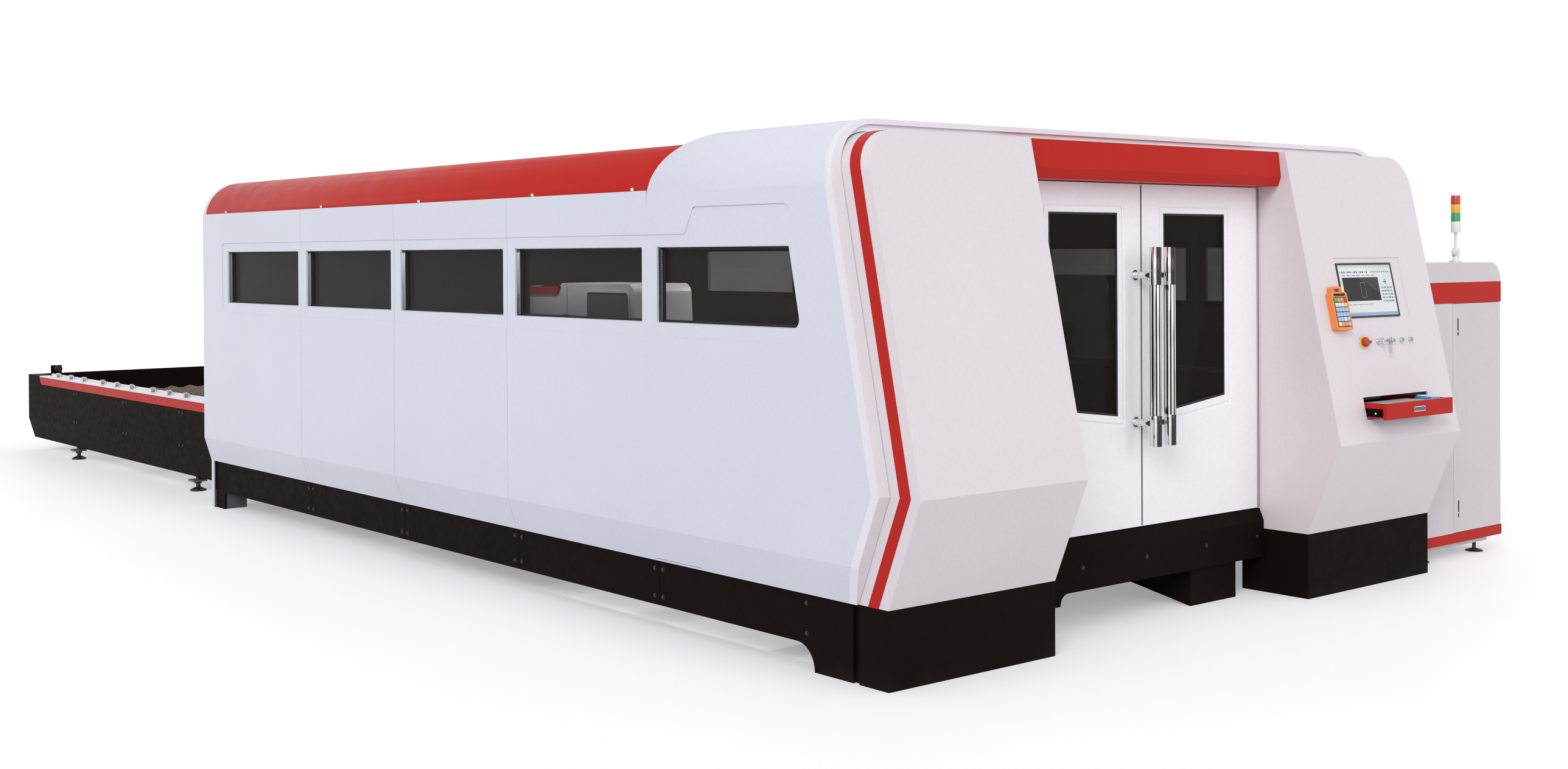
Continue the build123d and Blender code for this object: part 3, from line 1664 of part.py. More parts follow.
def beam_rail(z, grow):
    """One carriage rail along the beam's front, or the groove round it."""
    end = cover_left + cover_width + seat - grow
    return block(end, machine_width - end, gantry_beam_front - beam_rail_reach - grow,
                 gantry_beam_front, z - grow, z + beam_rail_height + grow)


def make_gantry_covers():
    """Moulded covers over the gantry's ends, with a round front shoulder and a sunk side field."""
    low = gantry_beam_low
    y0 = gantry_y - cover_length / 2
    y1 = gantry_y + cover_length / 2
    x1 = cover_left + cover_width
    step_y = y1 - cover_rear_length
    step_top = cover_top - cover_step
    def profile(inset):
        return outline([
            (y0 + inset, low - inset),
            (y0 + cover_front_lean + inset, cover_top - inset, cover_radius),
            (step_y + cover_step_length, cover_top - inset, 30.0),
            (step_y, step_top - inset, 20.0),
            (y1 - inset, step_top - inset, 8.0),
            (y1 - inset, low - inset),
        ])
    shell = along_x(profile(0.0), cover_left, x1)
    shell = shell - along_x(profile(skin), cover_left + skin, x1 - skin)
    shell = shell - block(x1 - skin - overrun, x1 + overrun, gantry_beam_front - beam_clearance,
                          gantry_beam_front + beam_depth + beam_clearance,
                          low - overrun, low + gantry_beam_height + beam_clearance)
    field_y = y0 + cover_field_inset
    field_high = cover_top - cover_field_inset
    sunk = along_x(outline([
        (field_y, low + cover_field_low),
        (field_y + cover_front_lean, field_high, 30.0),
        (field_y + cover_field_length - cover_field_inset / 3, field_high, 20.0),
        (field_y + cover_field_length, low + cover_field_low),
    ]), cover_left - overrun, cover_left + cover_field_depth)
    return both_sides(shell - sunk)


def make_x_carriage():
    """Saddle on the beam's two rails, with side ribs for the lift slide and the lift motor on top."""
    x0 = mid_x - carriage_width / 2
    z0 = gantry_beam_low - carriage_drop
    z1 = z0 + carriage_height
    saddle = block(x0, x0 + carriage_width, carriage_front, carriage_front + carriage_thickness, z0, z1)
    for z in beam_rail_levels():
        saddle = saddle - beam_rail(z, seat)
    rib_x = mid_x + slide_width / 2 + seat
    rib = block(rib_x, rib_x + carriage_rib, slide_front + carriage_drop, carriage_front, z0, z1)
    motor_y = carriage_front + carriage_thickness / 2
    motor = post(mid_x, motor_y, z1, z1 + lift_motor_height, lift_motor_radius)
    return saddle + rib + mirrored(rib) + motor


def make_cutting_head():
    """Lift slide with the waisted cutting head and its conical nozzle."""
    x0 = mid_x - slide_width / 2
    slide = block(x0, x0 + slide_width, slide_front, slide_front + slide_thickness, slide_low, slide_high)
    waist = nozzle_tip + nozzle_length + head_collar_height
    collar = post(mid_x, head_y, nozzle_tip + nozzle_length, waist, head_radius)
    middle = post(mid_x, head_y, waist, waist + head_waist_height, head_waist_radius)
    body = post(mid_x, head_y, waist + head_waist_height, head_top, head_radius)
    nozzle = Pos(mid_x, head_y, nozzle_tip) * Cone(nozzle_tip_radius, head_waist_radius, nozzle_length,
                                                   align=(Align.CENTER, Align.CENTER, Align.MIN))
    return slide + body + middle + collar + nozzle


def all_nodes():
    hood = make_hood()
    nodes = {
        "bed_frame": make_bed_frame(),
        "guide_rails": make_guide_rails(),
        "plinth_boxes": make_plinth_boxes(),
        "front_plinth": make_front_plinth(),
        "left_panels": make_left_panels(),
        "right_panels": make_right_panels(),
        "side_windows": make_side_windows(),
        "hood_sides": make_hood_sides(hood),
        "hood_top": make_hood_top(hood),
        "portal_rim": make_portal_rim(),
        "roof_covers": make_roof_covers(),
        "roof_deck": make_roof_deck(),
        "rear_wall": make_rear_wall(),
        "left_pod": make_left_pod(),
        "right_pod": make_right_pod(),
        "pod_stripes": make_pod_stripes(),
        "lintel": make_lintel(),
        "door_pivots": make_door_pivots(),
        "left_door": door_body(),
        "left_door_pane": door_pane(),
        "left_door_handle": door_handle(),
        "right_door": door_mirror(door_body()),
        "right_door_pane": door_mirror(door_pane()),
        "right_door_handle": door_mirror(door_handle()),
        "monitor_frame": make_monitor_frame(),
        "monitor_screen": make_monitor_screen(),
        "control_rings": make_control_rings(),
        "emergency_stop": make_emergency_stop(),
        "selector_knob": make_selector(),
        "key_switch": make_key_switch(),
        "pendant": make_pendant(),
        "drawer_shelf": make_drawer_shelf(),
        "drawer_tray": make_drawer_tray(),
        "drawer_front": make_drawer_front(),
        "keyboard": make_keyboard(),
        "mouse": make_mouse(),
        "cabinet_body": make_cabinet_body(),
        "cabinet_bands": make_cabinet_bands(),
        "cabinet_cap": make_cabinet_cap(),
        "cabinet_door": make_cabinet_door(),
        "levelling_feet": make_levelling_feet(),
        "signal_base": make_signal_base(),
        "signal_mast": make_signal_mast(),
        "signal_lenses": make_signal_lenses(),
        "changer_skirts": make_changer_skirts(),
        "changer_frame": make_changer_frame(),
        "changer_rails": make_changer_rails(),
        "changer_trim": make_changer_trim(),
        "pallet_rollers": make_pallet_rollers(),
        "upper_pallet": pallet_frame(pallet_front, upper_level),
        "upper_slats": slat_rack(pallet_front, upper_level),
        "lower_pallet": pallet_frame(pallet_front + pallet_travel, lower_level),
        "lower_slats": slat_rack(pallet_front + pallet_travel, lower_level),
        "gantry_beam": make_gantry_beam(),
        "gantry_covers": make_gantry_covers(),
        "x_carriage": make_x_carriage(),
        "cutting_head": make_cutting_head(),
    }
    for number, x in enumerate(button_x, start=1):
        nodes[f"push_button_{number}"] = make_push_button(x)
    return nodes


def placed(shape):
    """Move a shape from the modelling place to the machine's own origin."""
    return Pos(-origin_x, -origin_y, 0.0) * shape


def main():
    os.makedirs("parts", exist_ok=True)
    for name, shape in all_nodes().items():
        export_step(placed(shape), os.path.join("parts", name + ".step"))


if __name__ == "__main__":
    main()
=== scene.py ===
import json
import math

import bmesh
import bpy
from mathutils import Matrix, Vector


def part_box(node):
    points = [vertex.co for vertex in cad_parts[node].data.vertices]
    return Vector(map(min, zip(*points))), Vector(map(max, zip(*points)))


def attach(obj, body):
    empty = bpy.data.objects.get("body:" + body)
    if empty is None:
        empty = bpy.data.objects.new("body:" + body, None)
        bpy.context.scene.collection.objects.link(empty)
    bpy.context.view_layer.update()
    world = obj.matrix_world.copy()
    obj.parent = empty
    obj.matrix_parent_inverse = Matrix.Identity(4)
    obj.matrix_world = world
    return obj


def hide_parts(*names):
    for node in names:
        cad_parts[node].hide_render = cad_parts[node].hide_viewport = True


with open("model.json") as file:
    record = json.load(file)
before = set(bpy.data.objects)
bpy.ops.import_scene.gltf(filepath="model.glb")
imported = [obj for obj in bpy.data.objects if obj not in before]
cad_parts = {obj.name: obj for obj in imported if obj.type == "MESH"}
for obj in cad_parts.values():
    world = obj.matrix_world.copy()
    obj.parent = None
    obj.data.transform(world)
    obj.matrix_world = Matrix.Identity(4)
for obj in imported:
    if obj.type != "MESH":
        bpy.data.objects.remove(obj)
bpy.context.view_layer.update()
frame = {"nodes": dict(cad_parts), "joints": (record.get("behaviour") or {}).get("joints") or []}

bl_info = {
    "name": "Laser cutting machine",
    "version": (1, 0, 0),
    "blender": (4, 5, 0),
    "location": "View3D > Sidebar > Cutting machine",
    "description": "Paints and dresses a laser cutting machine round its CAD frame",
    "category": "Object",
}

X, Y, Z = Vector((1, 0, 0)), Vector((0, 1, 0)), Vector((0, 0, 1))
nodes = frame["nodes"]
joints = {joint["name"]: joint for joint in frame["joints"]}

# The plinth's lowest corner is the machine's own zero, so places are written in millimetres from it.
machine_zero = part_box("plinth_boxes")[0]


def at(x, y, z):
    """A point in metres from millimetres measured on the machine."""
    return machine_zero + Vector((x, y, z)) / 1000


def span(node):
    """A node's limits in machine millimetres."""
    low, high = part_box(node)
    return (low - machine_zero) * 1000, (high - machine_zero) * 1000


def height_in(node, share):
    """A height in metres at a share of a node's rise."""
    low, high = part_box(node)
    return low.z + (high.z - low.z) * share


machine_width = span("plinth_boxes")[1].x
wall_x = span("left_panels")[0].x
housing_rear = span("left_panels")[1].y
pane_x = span("side_windows")[0].x
door_seam = span("left_door")[1].x + 1

# Side panels and windows, as the CAD source places them
panel_pitch = 1077.0
hood_rear = 1340.0
window_low, window_high = 1232.0, 1532.0
window_corner_y = 461.0
panel_joints = [hood_rear + index * panel_pitch for index in range(4)]

# Doors: the panes' corners, those across counted from the seam, and the handles' tubes
pane_near, pane_width = 148.0, 415.0
pane_foot_near, pane_foot_far, pane_head = 832.0, 882.0, 1661.0
handle_from_seam, handle_y = 46.0, 136.0


def mirrored_x(x):
    return machine_width - x


def handle_axis(sign):
    """Where a door handle's tube stands, in metres."""
    axis = at(door_seam + sign * handle_from_seam, handle_y, 0)
    return axis.x, axis.y


def rounded(corners, steps=5):
    """A loop of (u, v) points from (u, v, radius) corners."""
    loop = []
    count = len(corners)
    for index, (u, v, radius) in enumerate(corners):
        here = Vector((u, v))
        if radius == 0:
            loop.append((u, v))
            continue
        back = (Vector(corners[index - 1][:2]) - here).normalized()
        ahead = (Vector(corners[(index + 1) % count][:2]) - here).normalized()
        half = back.angle(ahead) / 2
        hub = here + (back + ahead).normalized() * (radius / math.sin(half))
        reach = radius / math.tan(half)
        first, last = here + back * reach - hub, here + ahead * reach - hub
        for step in range(steps + 1):
            arm = first.lerp(last, step / steps).normalized() * radius
            loop.append(tuple(hub + arm))
    return loop


# The console's plane, from the way its stop is pressed and the place where its selector turns
console_out = -Vector(joints["stop_press"]["axis"]).normalized()
console_up = console_out.cross(X)
console_zero = Vector(joints["selector_turn"]["pos_m"])
controls_z = (console_zero - machine_zero).z * 1000
stop_x, lamp_x, selector_x = 2782, 2832, 2901


def on_console(x, z, lift=0.0):
    """A point on the console's face at a machine x and height, lifted off it by millimetres."""
    rise = (z - controls_z) / console_up.z / 1000
    start = Vector((machine_zero.x + x / 1000, console_zero.y, console_zero.z))
    return start + console_up * rise + console_out * (lift / 1000)


class MachineSizes(bpy.types.PropertyGroup):
    gasket_lip: bpy.props.FloatProperty(
        name="Gasket lip", description="Width of the black gasket that shows on each window pane",
        default=0.012, min=0.002, max=0.03, unit="LENGTH")
    channel_width: bpy.props.FloatProperty(
        name="Channel width", description="Width of the aluminium channel inside each side window's edge",
        default=0.015, min=0.005, max=0.02, unit="LENGTH")
    clip_size: bpy.props.FloatProperty(
        name="Clip size", description="Height of the small hooks at the roof covers' lower edge",
        default=0.012, min=0.004, max=0.03, unit="LENGTH")
    bolt_radius: bpy.props.FloatProperty(
        name="Bolt head radius", description="Radius of the black bolt heads at the plinth's joints",
        default=0.0065, min=0.003, max=0.02, unit="LENGTH")
    low_sleeve: bpy.props.FloatProperty(
        name="Lower handle sleeve", description="Length of the plain dark sleeve at each handle's foot",
        default=0.1245, min=0.05, max=0.2, unit="LENGTH")
    top_sleeve: bpy.props.FloatProperty(
        name="Upper handle sleeve", description="Length of the plain dark sleeve at each handle's head",
        default=0.1525, min=0.05, max=0.2, unit="LENGTH")


class MachineColours(bpy.types.PropertyGroup):
    wall: bpy.props.FloatVectorProperty(
        name="Walls", description="Paint of the side walls and roof",
        default=(0.685, 0.70, 0.785), size=3, min=0, max=1, subtype="COLOR")
    # The cabinet takes this colour darkened as painted shade
    pod: bpy.props.FloatVectorProperty(
        name="Pods", description="Paint of the front pods and, a shade darker, of the cabinet",
        default=(0.74, 0.685, 0.71), size=3, min=0, max=1, subtype="COLOR")
    # The doors' colour is partly their own paler paint and partly painted light, raised to make up for the
    # shade of the pods and lintel
    door: bpy.props.FloatVectorProperty(
        name="Doors", description="Paint of the two doors",
        default=(0.95, 0.915, 0.945), size=3, min=0, max=1, subtype="COLOR")
    rim: bpy.props.FloatVectorProperty(
        name="Rim", description="Paint of the arch round the pods",
        default=(0.80, 0.785, 0.83), size=3, min=0, max=1, subtype="COLOR")
    red: bpy.props.FloatVectorProperty(
        name="Red", description="Red of the roof edges, stripes and lintel",
        default=(0.50, 0.025, 0.018), size=3, min=0, max=1, subtype="COLOR")
    plinth: bpy.props.FloatVectorProperty(
        name="Plinth", description="Black-brown paint of the plinth",
        default=(0.008, 0.005, 0.004), size=3, min=0, max=1, subtype="COLOR")
    pendant: bpy.props.FloatVectorProperty(
        name="Pendant", description="Moulded colour of the hand pendant",
        default=(0.86, 0.26, 0.05), size=3, min=0, max=1, subtype="COLOR")


def shade(colour, amount):
    return tuple(min(1.0, channel * amount) for channel in colour)


class Nodes:
    """A node tree in the making."""

    def __init__(self, tree):
        self.tree = tree

    def feed(self, socket, value):
        if isinstance(value, bpy.types.NodeSocket):
            self.tree.links.new(value, socket)
        else:
            socket.default_value = value

    def node(self, kind, *values, **named):
        """A new node: values feed its inputs in order, named ones its settings or the inputs of that name."""
        made = self.tree.nodes.new(kind)
        for socket, value in zip(made.inputs, values):
            self.feed(socket, value)
        for key, value in named.items():
            if hasattr(made, key):
                setattr(made, key, value)
            else:
                self.feed(made.inputs[key.replace("_", " ")], value)
        return made

    def math(self, operation, *values):
        return self.node("ShaderNodeMath", *values, operation=operation).outputs[0]

    def remap(self, value, low, high, out_low, out_high):
        return self.node("ShaderNodeMapRange", value, low, high, out_low, out_high).outputs[0]

    def blend(self, factor, first, second):
        """A mix of two colours, each a plain colour or a socket."""
        mix = self.node("ShaderNodeMix", factor, data_type="RGBA")
        for socket, colour in ((mix.inputs[6], first), (mix.inputs[7], second)):
            self.feed(socket, colour if isinstance(colour, bpy.types.NodeSocket) else (*colour[:3], 1.0))
        return mix.outputs[2]

    def seen_directly(self):
        """One where the eye looks straight, through glass or by a reflection; none for light that bounces."""
        path = self.node("ShaderNodeLightPath").outputs
        seen = self.math("MAXIMUM", path["Is Camera Ray"], path["Is Glossy Ray"])
        return self.math("MAXIMUM", seen, path["Is Transmission Ray"])


class Surface(Nodes):
    """A material in the making, placed by the point on the piece in its own metres."""

    def __init__(self, name):
        self.material = bpy.data.materials.new(name)
        self.material.use_nodes = True
        super().__init__(self.material.node_tree)
        self.shader = next(node for node in self.tree.nodes if node.type == "BSDF_PRINCIPLED")
        places = self.node("ShaderNodeTexCoord").outputs
        self.where, self.facing = places["Object"], places["Normal"]

    def set(self, **values):
        for key, value in values.items():
            self.feed(self.shader.inputs[key.replace("_", " ")], value)

    def split(self, vector):
        return self.node("ShaderNodeSeparateXYZ", vector).outputs

    def noise(self, scale, detail=3.0, stretch=(1, 1, 1)):
        mapping = self.node("ShaderNodeMapping", Vector=self.where, Scale=stretch)
        return self.node("ShaderNodeTexNoise", Vector=mapping.outputs["Vector"], Scale=scale,
                         Detail=detail).outputs["Fac"]

    def roughen(self, pattern, low, high):
        self.set(Roughness=self.remap(pattern, 0.3, 0.7, low, high))

    def bump(self, heights, strength, distance):
        node = self.node("ShaderNodeBump", Strength=strength, Distance=distance, Height=heights)
        self.set(Normal=node.outputs["Normal"])

    def dust_near_floor(self, height):
        """A mask that grows towards the floor, broken up by noise."""
        low = self.remap(self.split(self.where)["Z"], 0.0, height, 1.0, 0.0)
        return self.math("MULTIPLY", low, self.noise(5.0, 5.0))

    def painted_cabin_shade(self):
        """A mask of the faces that look into the cabin, by which way they face: where painted shade is laid.
        """
        turned, placed = self.split(self.facing), self.split(self.where)
        middle = at(machine_width / 2, 0, 0).x
        rear_wall, roof_height = at(0, housing_rear - 10, 0).y, 1.6
        side = self.math("SIGN", self.math("SUBTRACT", middle, placed["X"]))
        wall = self.math("GREATER_THAN", self.math("MULTIPLY", side, turned["X"]), 0.6)
        ceiling = self.math("MULTIPLY", self.math("LESS_THAN", turned["Z"], -0.6),
                            self.math("GREATER_THAN", placed["Z"], roof_height))
        rear = self.math("MULTIPLY", self.math("LESS_THAN", turned["Y"], -0.6),
                         self.math("GREATER_THAN", placed["Y"], rear_wall))
        return self.math("MAXIMUM", self.math("MAXIMUM", wall, ceiling), rear)


# Makers of finishes

def sprayed_paint(skin, colour, roughness=0.38, coat=0.1, gloss=0.35, painted_inner_shade=False):
    """Powder-coated sheet: faint colour drift and mottling, orange peel and a little dust low down."""
    drift = skin.blend(skin.noise(1.3, 2.0), shade(colour, 0.965), shade(colour, 1.03))
    flecks = skin.remap(skin.noise(75.0, 4.0), 0.35, 0.65, 0.0, 0.07)
    mottled = skin.blend(flecks, drift, shade(colour, 0.55))
    dust = skin.remap(skin.dust_near_floor(0.9), 0.0, 1.0, 0.0, 0.35)
    worn = skin.blend(dust, mottled, shade(colour, 0.72))
    # Painted shade: where asked, faces inside the cabin are painted dark grey-brown to stand for the unlit
    # inside
    if painted_inner_shade:
        worn = skin.blend(skin.painted_cabin_shade(), worn, (0.17, 0.155, 0.15))
    skin.set(Base_Color=worn, Specular_IOR_Level=gloss, Coat_Weight=coat, Coat_Roughness=0.25)
    skin.roughen(skin.noise(9.0, 4.0), roughness - 0.05, roughness + 0.07)
    skin.bump(skin.noise(420.0, 2.0), 0.06, 0.0004)


# The pods' paint made darker as painted shade, for the shadow that the cabinet stands in
def paint_with_painted_shade(skin, colour):
    sprayed_paint(skin, shade(colour, 0.86))


def textured_black(skin, colour):
    """Satin black-brown paint with faint grey scuffs along the floor."""
    scuff = skin.remap(skin.dust_near_floor(0.16), 0.3, 0.8, 0.0, 0.22)
    skin.set(Base_Color=skin.blend(scuff, colour, (0.05, 0.043, 0.038)), Specular_IOR_Level=0.025)
    skin.roughen(skin.noise(30.0), 0.5, 0.64)
    skin.bump(skin.noise(650.0, 2.0), 0.12, 0.0004)


def polished_metal(skin, colour, roughness):
    skin.set(Base_Color=skin.blend(skin.noise(14.0), shade(colour, 0.94), colour), Metallic=1.0)
    skin.roughen(skin.noise(60.0, 4.0), roughness * 0.7, roughness * 1.4)
    skin.bump(skin.noise(500.0), 0.02, 0.0003)


def chrome_with_painted_reflections(skin, colour, axis, flutes=10, pale_below=-0.1, dark_above=0.25):
    """Polished tube: where it has flutes, they run down its length in relief and their dark stripes are
    painted reflections; where it has a single flute, it is dark with one pale stripe down one side, a painted
    reflection.
    """
    placed = skin.split(skin.where)
    turn = skin.math("ARCTAN2", skin.math("SUBTRACT", placed["X"], axis[0]),
                     skin.math("SUBTRACT", placed["Y"], axis[1]))
    wave = skin.math("SINE", skin.math("MULTIPLY", turn, flutes))
    painted_reflection = skin.remap(wave, pale_below, dark_above, 0.0, 1.0)
    skin.set(Base_Color=skin.blend(painted_reflection, colour, (0.055, 0.05, 0.048)), Metallic=1.0)
    skin.roughen(skin.noise(60.0, 4.0), 0.08, 0.16)
    skin.bump(wave, 0.25 if flutes > 1 else 0.0, 0.0006)


def brushed_metal(skin, colour, roughness, stretch):
    """Ground or brushed metal, its lines running along the short stretch axis."""
    lines = skin.noise(12.0, 4.0, stretch)
    skin.set(Base_Color=skin.blend(lines, shade(colour, 0.82), shade(colour, 1.1)), Metallic=1.0)
    skin.roughen(lines, roughness - 0.08, roughness + 0.1)
    skin.bump(lines, 0.12, 0.0004)


def cut_steel(skin, colour):
    """Mild steel with heat tint, spatter and a dull oxide skin."""
    tinted = (colour[0] * 1.25, colour[1] * 0.92, colour[2] * 0.72)
    patches = skin.remap(skin.noise(3.5, 6.0), 0.35, 0.65, 0.0, 1.0)
    specks = skin.remap(skin.noise(120.0, 3.0), 0.62, 0.7, 0.0, 1.0)
    spotted = skin.blend(specks, skin.blend(patches, colour, tinted), shade(colour, 0.35))
    skin.set(Base_Color=spotted, Metallic=0.75)
    skin.roughen(skin.noise(25.0), 0.4, 0.65)
    skin.bump(specks, 0.3, 0.0008)


def moulded_plastic(skin, colour, roughness=0.42, grain=900.0, coat=0.0):
    tone = skin.blend(skin.noise(8.0), shade(colour, 0.94), shade(colour, 1.05))
    skin.set(Base_Color=tone, Coat_Weight=coat)
    skin.roughen(skin.noise(70.0), roughness - 0.06, roughness + 0.08)
    skin.bump(skin.noise(grain), 0.12, 0.0002)


def two_tone_shell(skin, lower, upper, level):
    """Moulded shell whose base and top are different colours, split at a height."""
    above = skin.remap(skin.split(skin.where)["Z"], level - 0.0004, level + 0.0004, 0.0, 1.0)
    wear = skin.remap(skin.noise(60.0), 0.3, 0.7, 0.0, 0.08)
    skin.set(Base_Color=skin.blend(wear, skin.blend(above, lower, upper), (0.3, 0.3, 0.3)), Coat_Weight=0.3)
    skin.roughen(skin.noise(90.0), 0.2, 0.3)
    skin.bump(skin.noise(900.0), 0.08, 0.0002)


def smoked_sheet(skin, colour, alpha, gloss):
    """Tinted clear sheet: see-through, glossy, with faint cleaning marks."""
    wipes = skin.noise(2.5, 6.0, (1, 1, 3))
    skin.set(Base_Color=skin.blend(wipes, colour, shade(colour, 1.5)),
             Roughness=skin.remap(wipes, 0.3, 0.8, 0.03, 0.12),
             Alpha=skin.remap(wipes, 0.2, 0.8, alpha - 0.03, alpha + 0.05), Specular_IOR_Level=gloss)
    skin.material.surface_render_method = "BLENDED"


def lit_plastic(skin, colour, glow):
    """Coloured lens that glows a little from inside."""
    tone = skin.blend(skin.noise(40.0), shade(colour, 0.85), shade(colour, 1.1))
    skin.set(Base_Color=tone, Emission_Color=tone, Emission_Strength=glow, Roughness=0.18, Coat_Weight=0.5)
    skin.bump(skin.noise(300.0), 0.05, 0.0003)


def screen_glass(skin, colour, glow):
    tone = skin.blend(skin.noise(3.0), shade(colour, 0.8), shade(colour, 1.3))
    skin.set(Base_Color=tone, Emission_Color=tone, Emission_Strength=glow, Specular_IOR_Level=0.25)
    skin.roughen(skin.noise(25.0, 4.0), 0.1, 0.2)
    skin.bump(skin.noise(700.0), 0.03, 0.0002)


def signal_lens(skin, lens_colours):
    """Green, amber and red rings by height, each with moulded ribs."""
    tone, *higher = lens_colours
    for ring, colour in enumerate(higher, start=1):
        level = height_in("signal_lenses", ring / len(lens_colours))
        above = skin.math("GREATER_THAN", skin.split(skin.where)["Z"], level)
        tone = skin.blend(above, tone, colour)
    skin.set(Base_Color=tone, Emission_Color=tone, Emission_Strength=0.12, Roughness=0.2, Coat_Weight=0.4)
    ribs = skin.node("ShaderNodeTexWave", Vector=skin.where, Scale=90.0, bands_direction="Z")
    skin.bump(ribs.outputs["Fac"], 0.4, 0.001)


# Each finish under its material's name: its maker, its colour or the name of a colour the user can set, and
# the maker's further settings in their own order
recipes = {
    # The walls' and roof covers' paints carry painted shade, dark grey-brown, on their faces inside the cabin
    "wall_paint": (sprayed_paint, "wall", 0.38, 0.1, 0.35, True),
    "pod_paint": (sprayed_paint, "pod"),
    "cabinet_paint": (paint_with_painted_shade, "pod"),
    # Partly painted light: the doors' colour is raised against the shade of the pods and lintel
    "door_paint": (sprayed_paint, "door"),
    "rim_paint": (sprayed_paint, "rim", 0.3),
    "red_paint": (sprayed_paint, "red", 0.33, 0.0, 0.05),
    "roof_red_paint": (sprayed_paint, "red", 0.33, 0.0, 0.05, True),
    "frame_paint": (sprayed_paint, (0.12, 0.125, 0.14), 0.5),
    "grey_paint": (sprayed_paint, (0.42, 0.43, 0.46), 0.42),
    "plinth_paint": (textured_black, "plinth"),
    "handle_chrome": (polished_metal, (0.72, 0.73, 0.75), 0.13),
    "ground_steel": (brushed_metal, (0.66, 0.67, 0.69), 0.25, (60, 1, 60)),
    "turned_steel": (brushed_metal, (0.50, 0.50, 0.51), 0.34, (1, 60, 60)),
    "anodised_aluminium": (brushed_metal, (0.62, 0.63, 0.65), 0.32, (60, 60, 1)),
    "slat_steel": (cut_steel, (0.24, 0.22, 0.20)),
    "pallet_steel": (cut_steel, (0.13, 0.135, 0.15)),
    "side_window_sheet": (smoked_sheet, (0.020, 0.015, 0.014), 0.48, 0.10),
    "door_window_sheet": (smoked_sheet, (0.012, 0.008, 0.007), 0.62, 0.05),
    "black_rubber": (moulded_plastic, (0.012, 0.012, 0.013), 0.7, 1500.0),
    "black_plastic": (moulded_plastic, (0.018, 0.018, 0.02)),
    "white_plastic": (moulded_plastic, (0.78, 0.78, 0.76), 0.35),
    "pendant_plastic": (moulded_plastic, "pendant", 0.4),
    "stop_red_plastic": (moulded_plastic, (0.46, 0.012, 0.010), 0.3, 900.0, 0.1),
    "collar_yellow_plastic": (moulded_plastic, (0.85, 0.55, 0.03), 0.3),
    "mouse_shell_plastic": (
        two_tone_shell, (0.05, 0.33, 0.60), (0.70, 0.74, 0.80), height_in("mouse", 0.88)),
    "keyboard_plastic": (
        two_tone_shell, (0.03, 0.03, 0.035), (0.60, 0.60, 0.62), height_in("keyboard", 0.72)),
    "button_green_lens": (lit_plastic, (0.05, 0.34, 0.12), 0.14),
    "signal_lens_plastic": (signal_lens, ((0.02, 0.30, 0.10), (0.75, 0.38, 0.02), (0.55, 0.02, 0.02))),
}
# Handle tubes carry painted reflections as dark stripes; their sleeves are dark with a pale stripe down one
# side, also a painted reflection
for side, sign in (("left", -1), ("right", 1)):
    tube = (chrome_with_painted_reflections, (0.78, 0.77, 0.76), handle_axis(sign))
    recipes[side + "_tube_chrome"] = tube
    recipes[side + "_sleeve_chrome"] = (*tube, 1, -0.76, -0.60)
for name, colour in (
        ("white", (0.74, 0.74, 0.74)), ("blue", (0.40, 0.55, 0.78)), ("yellow", (0.85, 0.60, 0.06)),
        ("red", (0.60, 0.03, 0.05)), ("green", (0.08, 0.42, 0.10)), ("orange", (0.80, 0.33, 0.12))):
    recipes[f"key_{name}_plastic"] = (moulded_plastic, colour, 0.4)
for name, colour, glow in (
        ("black", (0.010, 0.009, 0.009), 0.05), ("black_sheen", (0.035, 0.032, 0.032), 0.1),
        ("white", (0.64, 0.67, 0.66), 0.08), ("bar", (0.50, 0.60, 0.52), 0.06),
        ("blue", (0.25, 0.38, 0.56), 0.06), ("ink", (0.05, 0.07, 0.14), 0.03),
        ("grey", (0.25, 0.27, 0.28), 0.05)):
    recipes["display_" + name] = (screen_glass, colour, glow)
finishes = {}


def finish(name):
    """Each finish is made once, the first time that a piece asks for it."""
    if name not in finishes:
        maker, colour, *told = recipes[name]
        if isinstance(colour, str):
            colour = getattr(bpy.context.scene.machine_colours, colour)
        skin = Surface(name)
        maker(skin, colour, *told)
        finishes[name] = skin.material
    return finishes[name]


def ease_edges(piece, width, angle, harden=False):
    """Small rounded edges, in metres, where faces meet at more than an angle in degrees."""
    bevel = piece.modifiers.new("Edges", "BEVEL")
    bevel.width = width
    bevel.segments = 2
    bevel.limit_method = "ANGLE"
    bevel.angle_limit = math.radians(angle)
    bevel.use_clamp_overlap = True
    bevel.harden_normals = harden


def dress(finish_name, edge, *names):
    """Gives CAD nodes their finish and, where an edge is given, small rounded edges."""
    for name in names:
        piece = nodes[name]
        piece.data.materials.clear()
        piece.data.materials.append(finish(finish_name))
        piece.modifiers.new("Weld", "WELD").merge_threshold = 0.00002
        if edge:
            ease_edges(piece, edge, 35, harden=True)


def add_object(name, data):
    made = bpy.data.objects.new(name, data)
    bpy.context.scene.collection.objects.link(made)
    return made


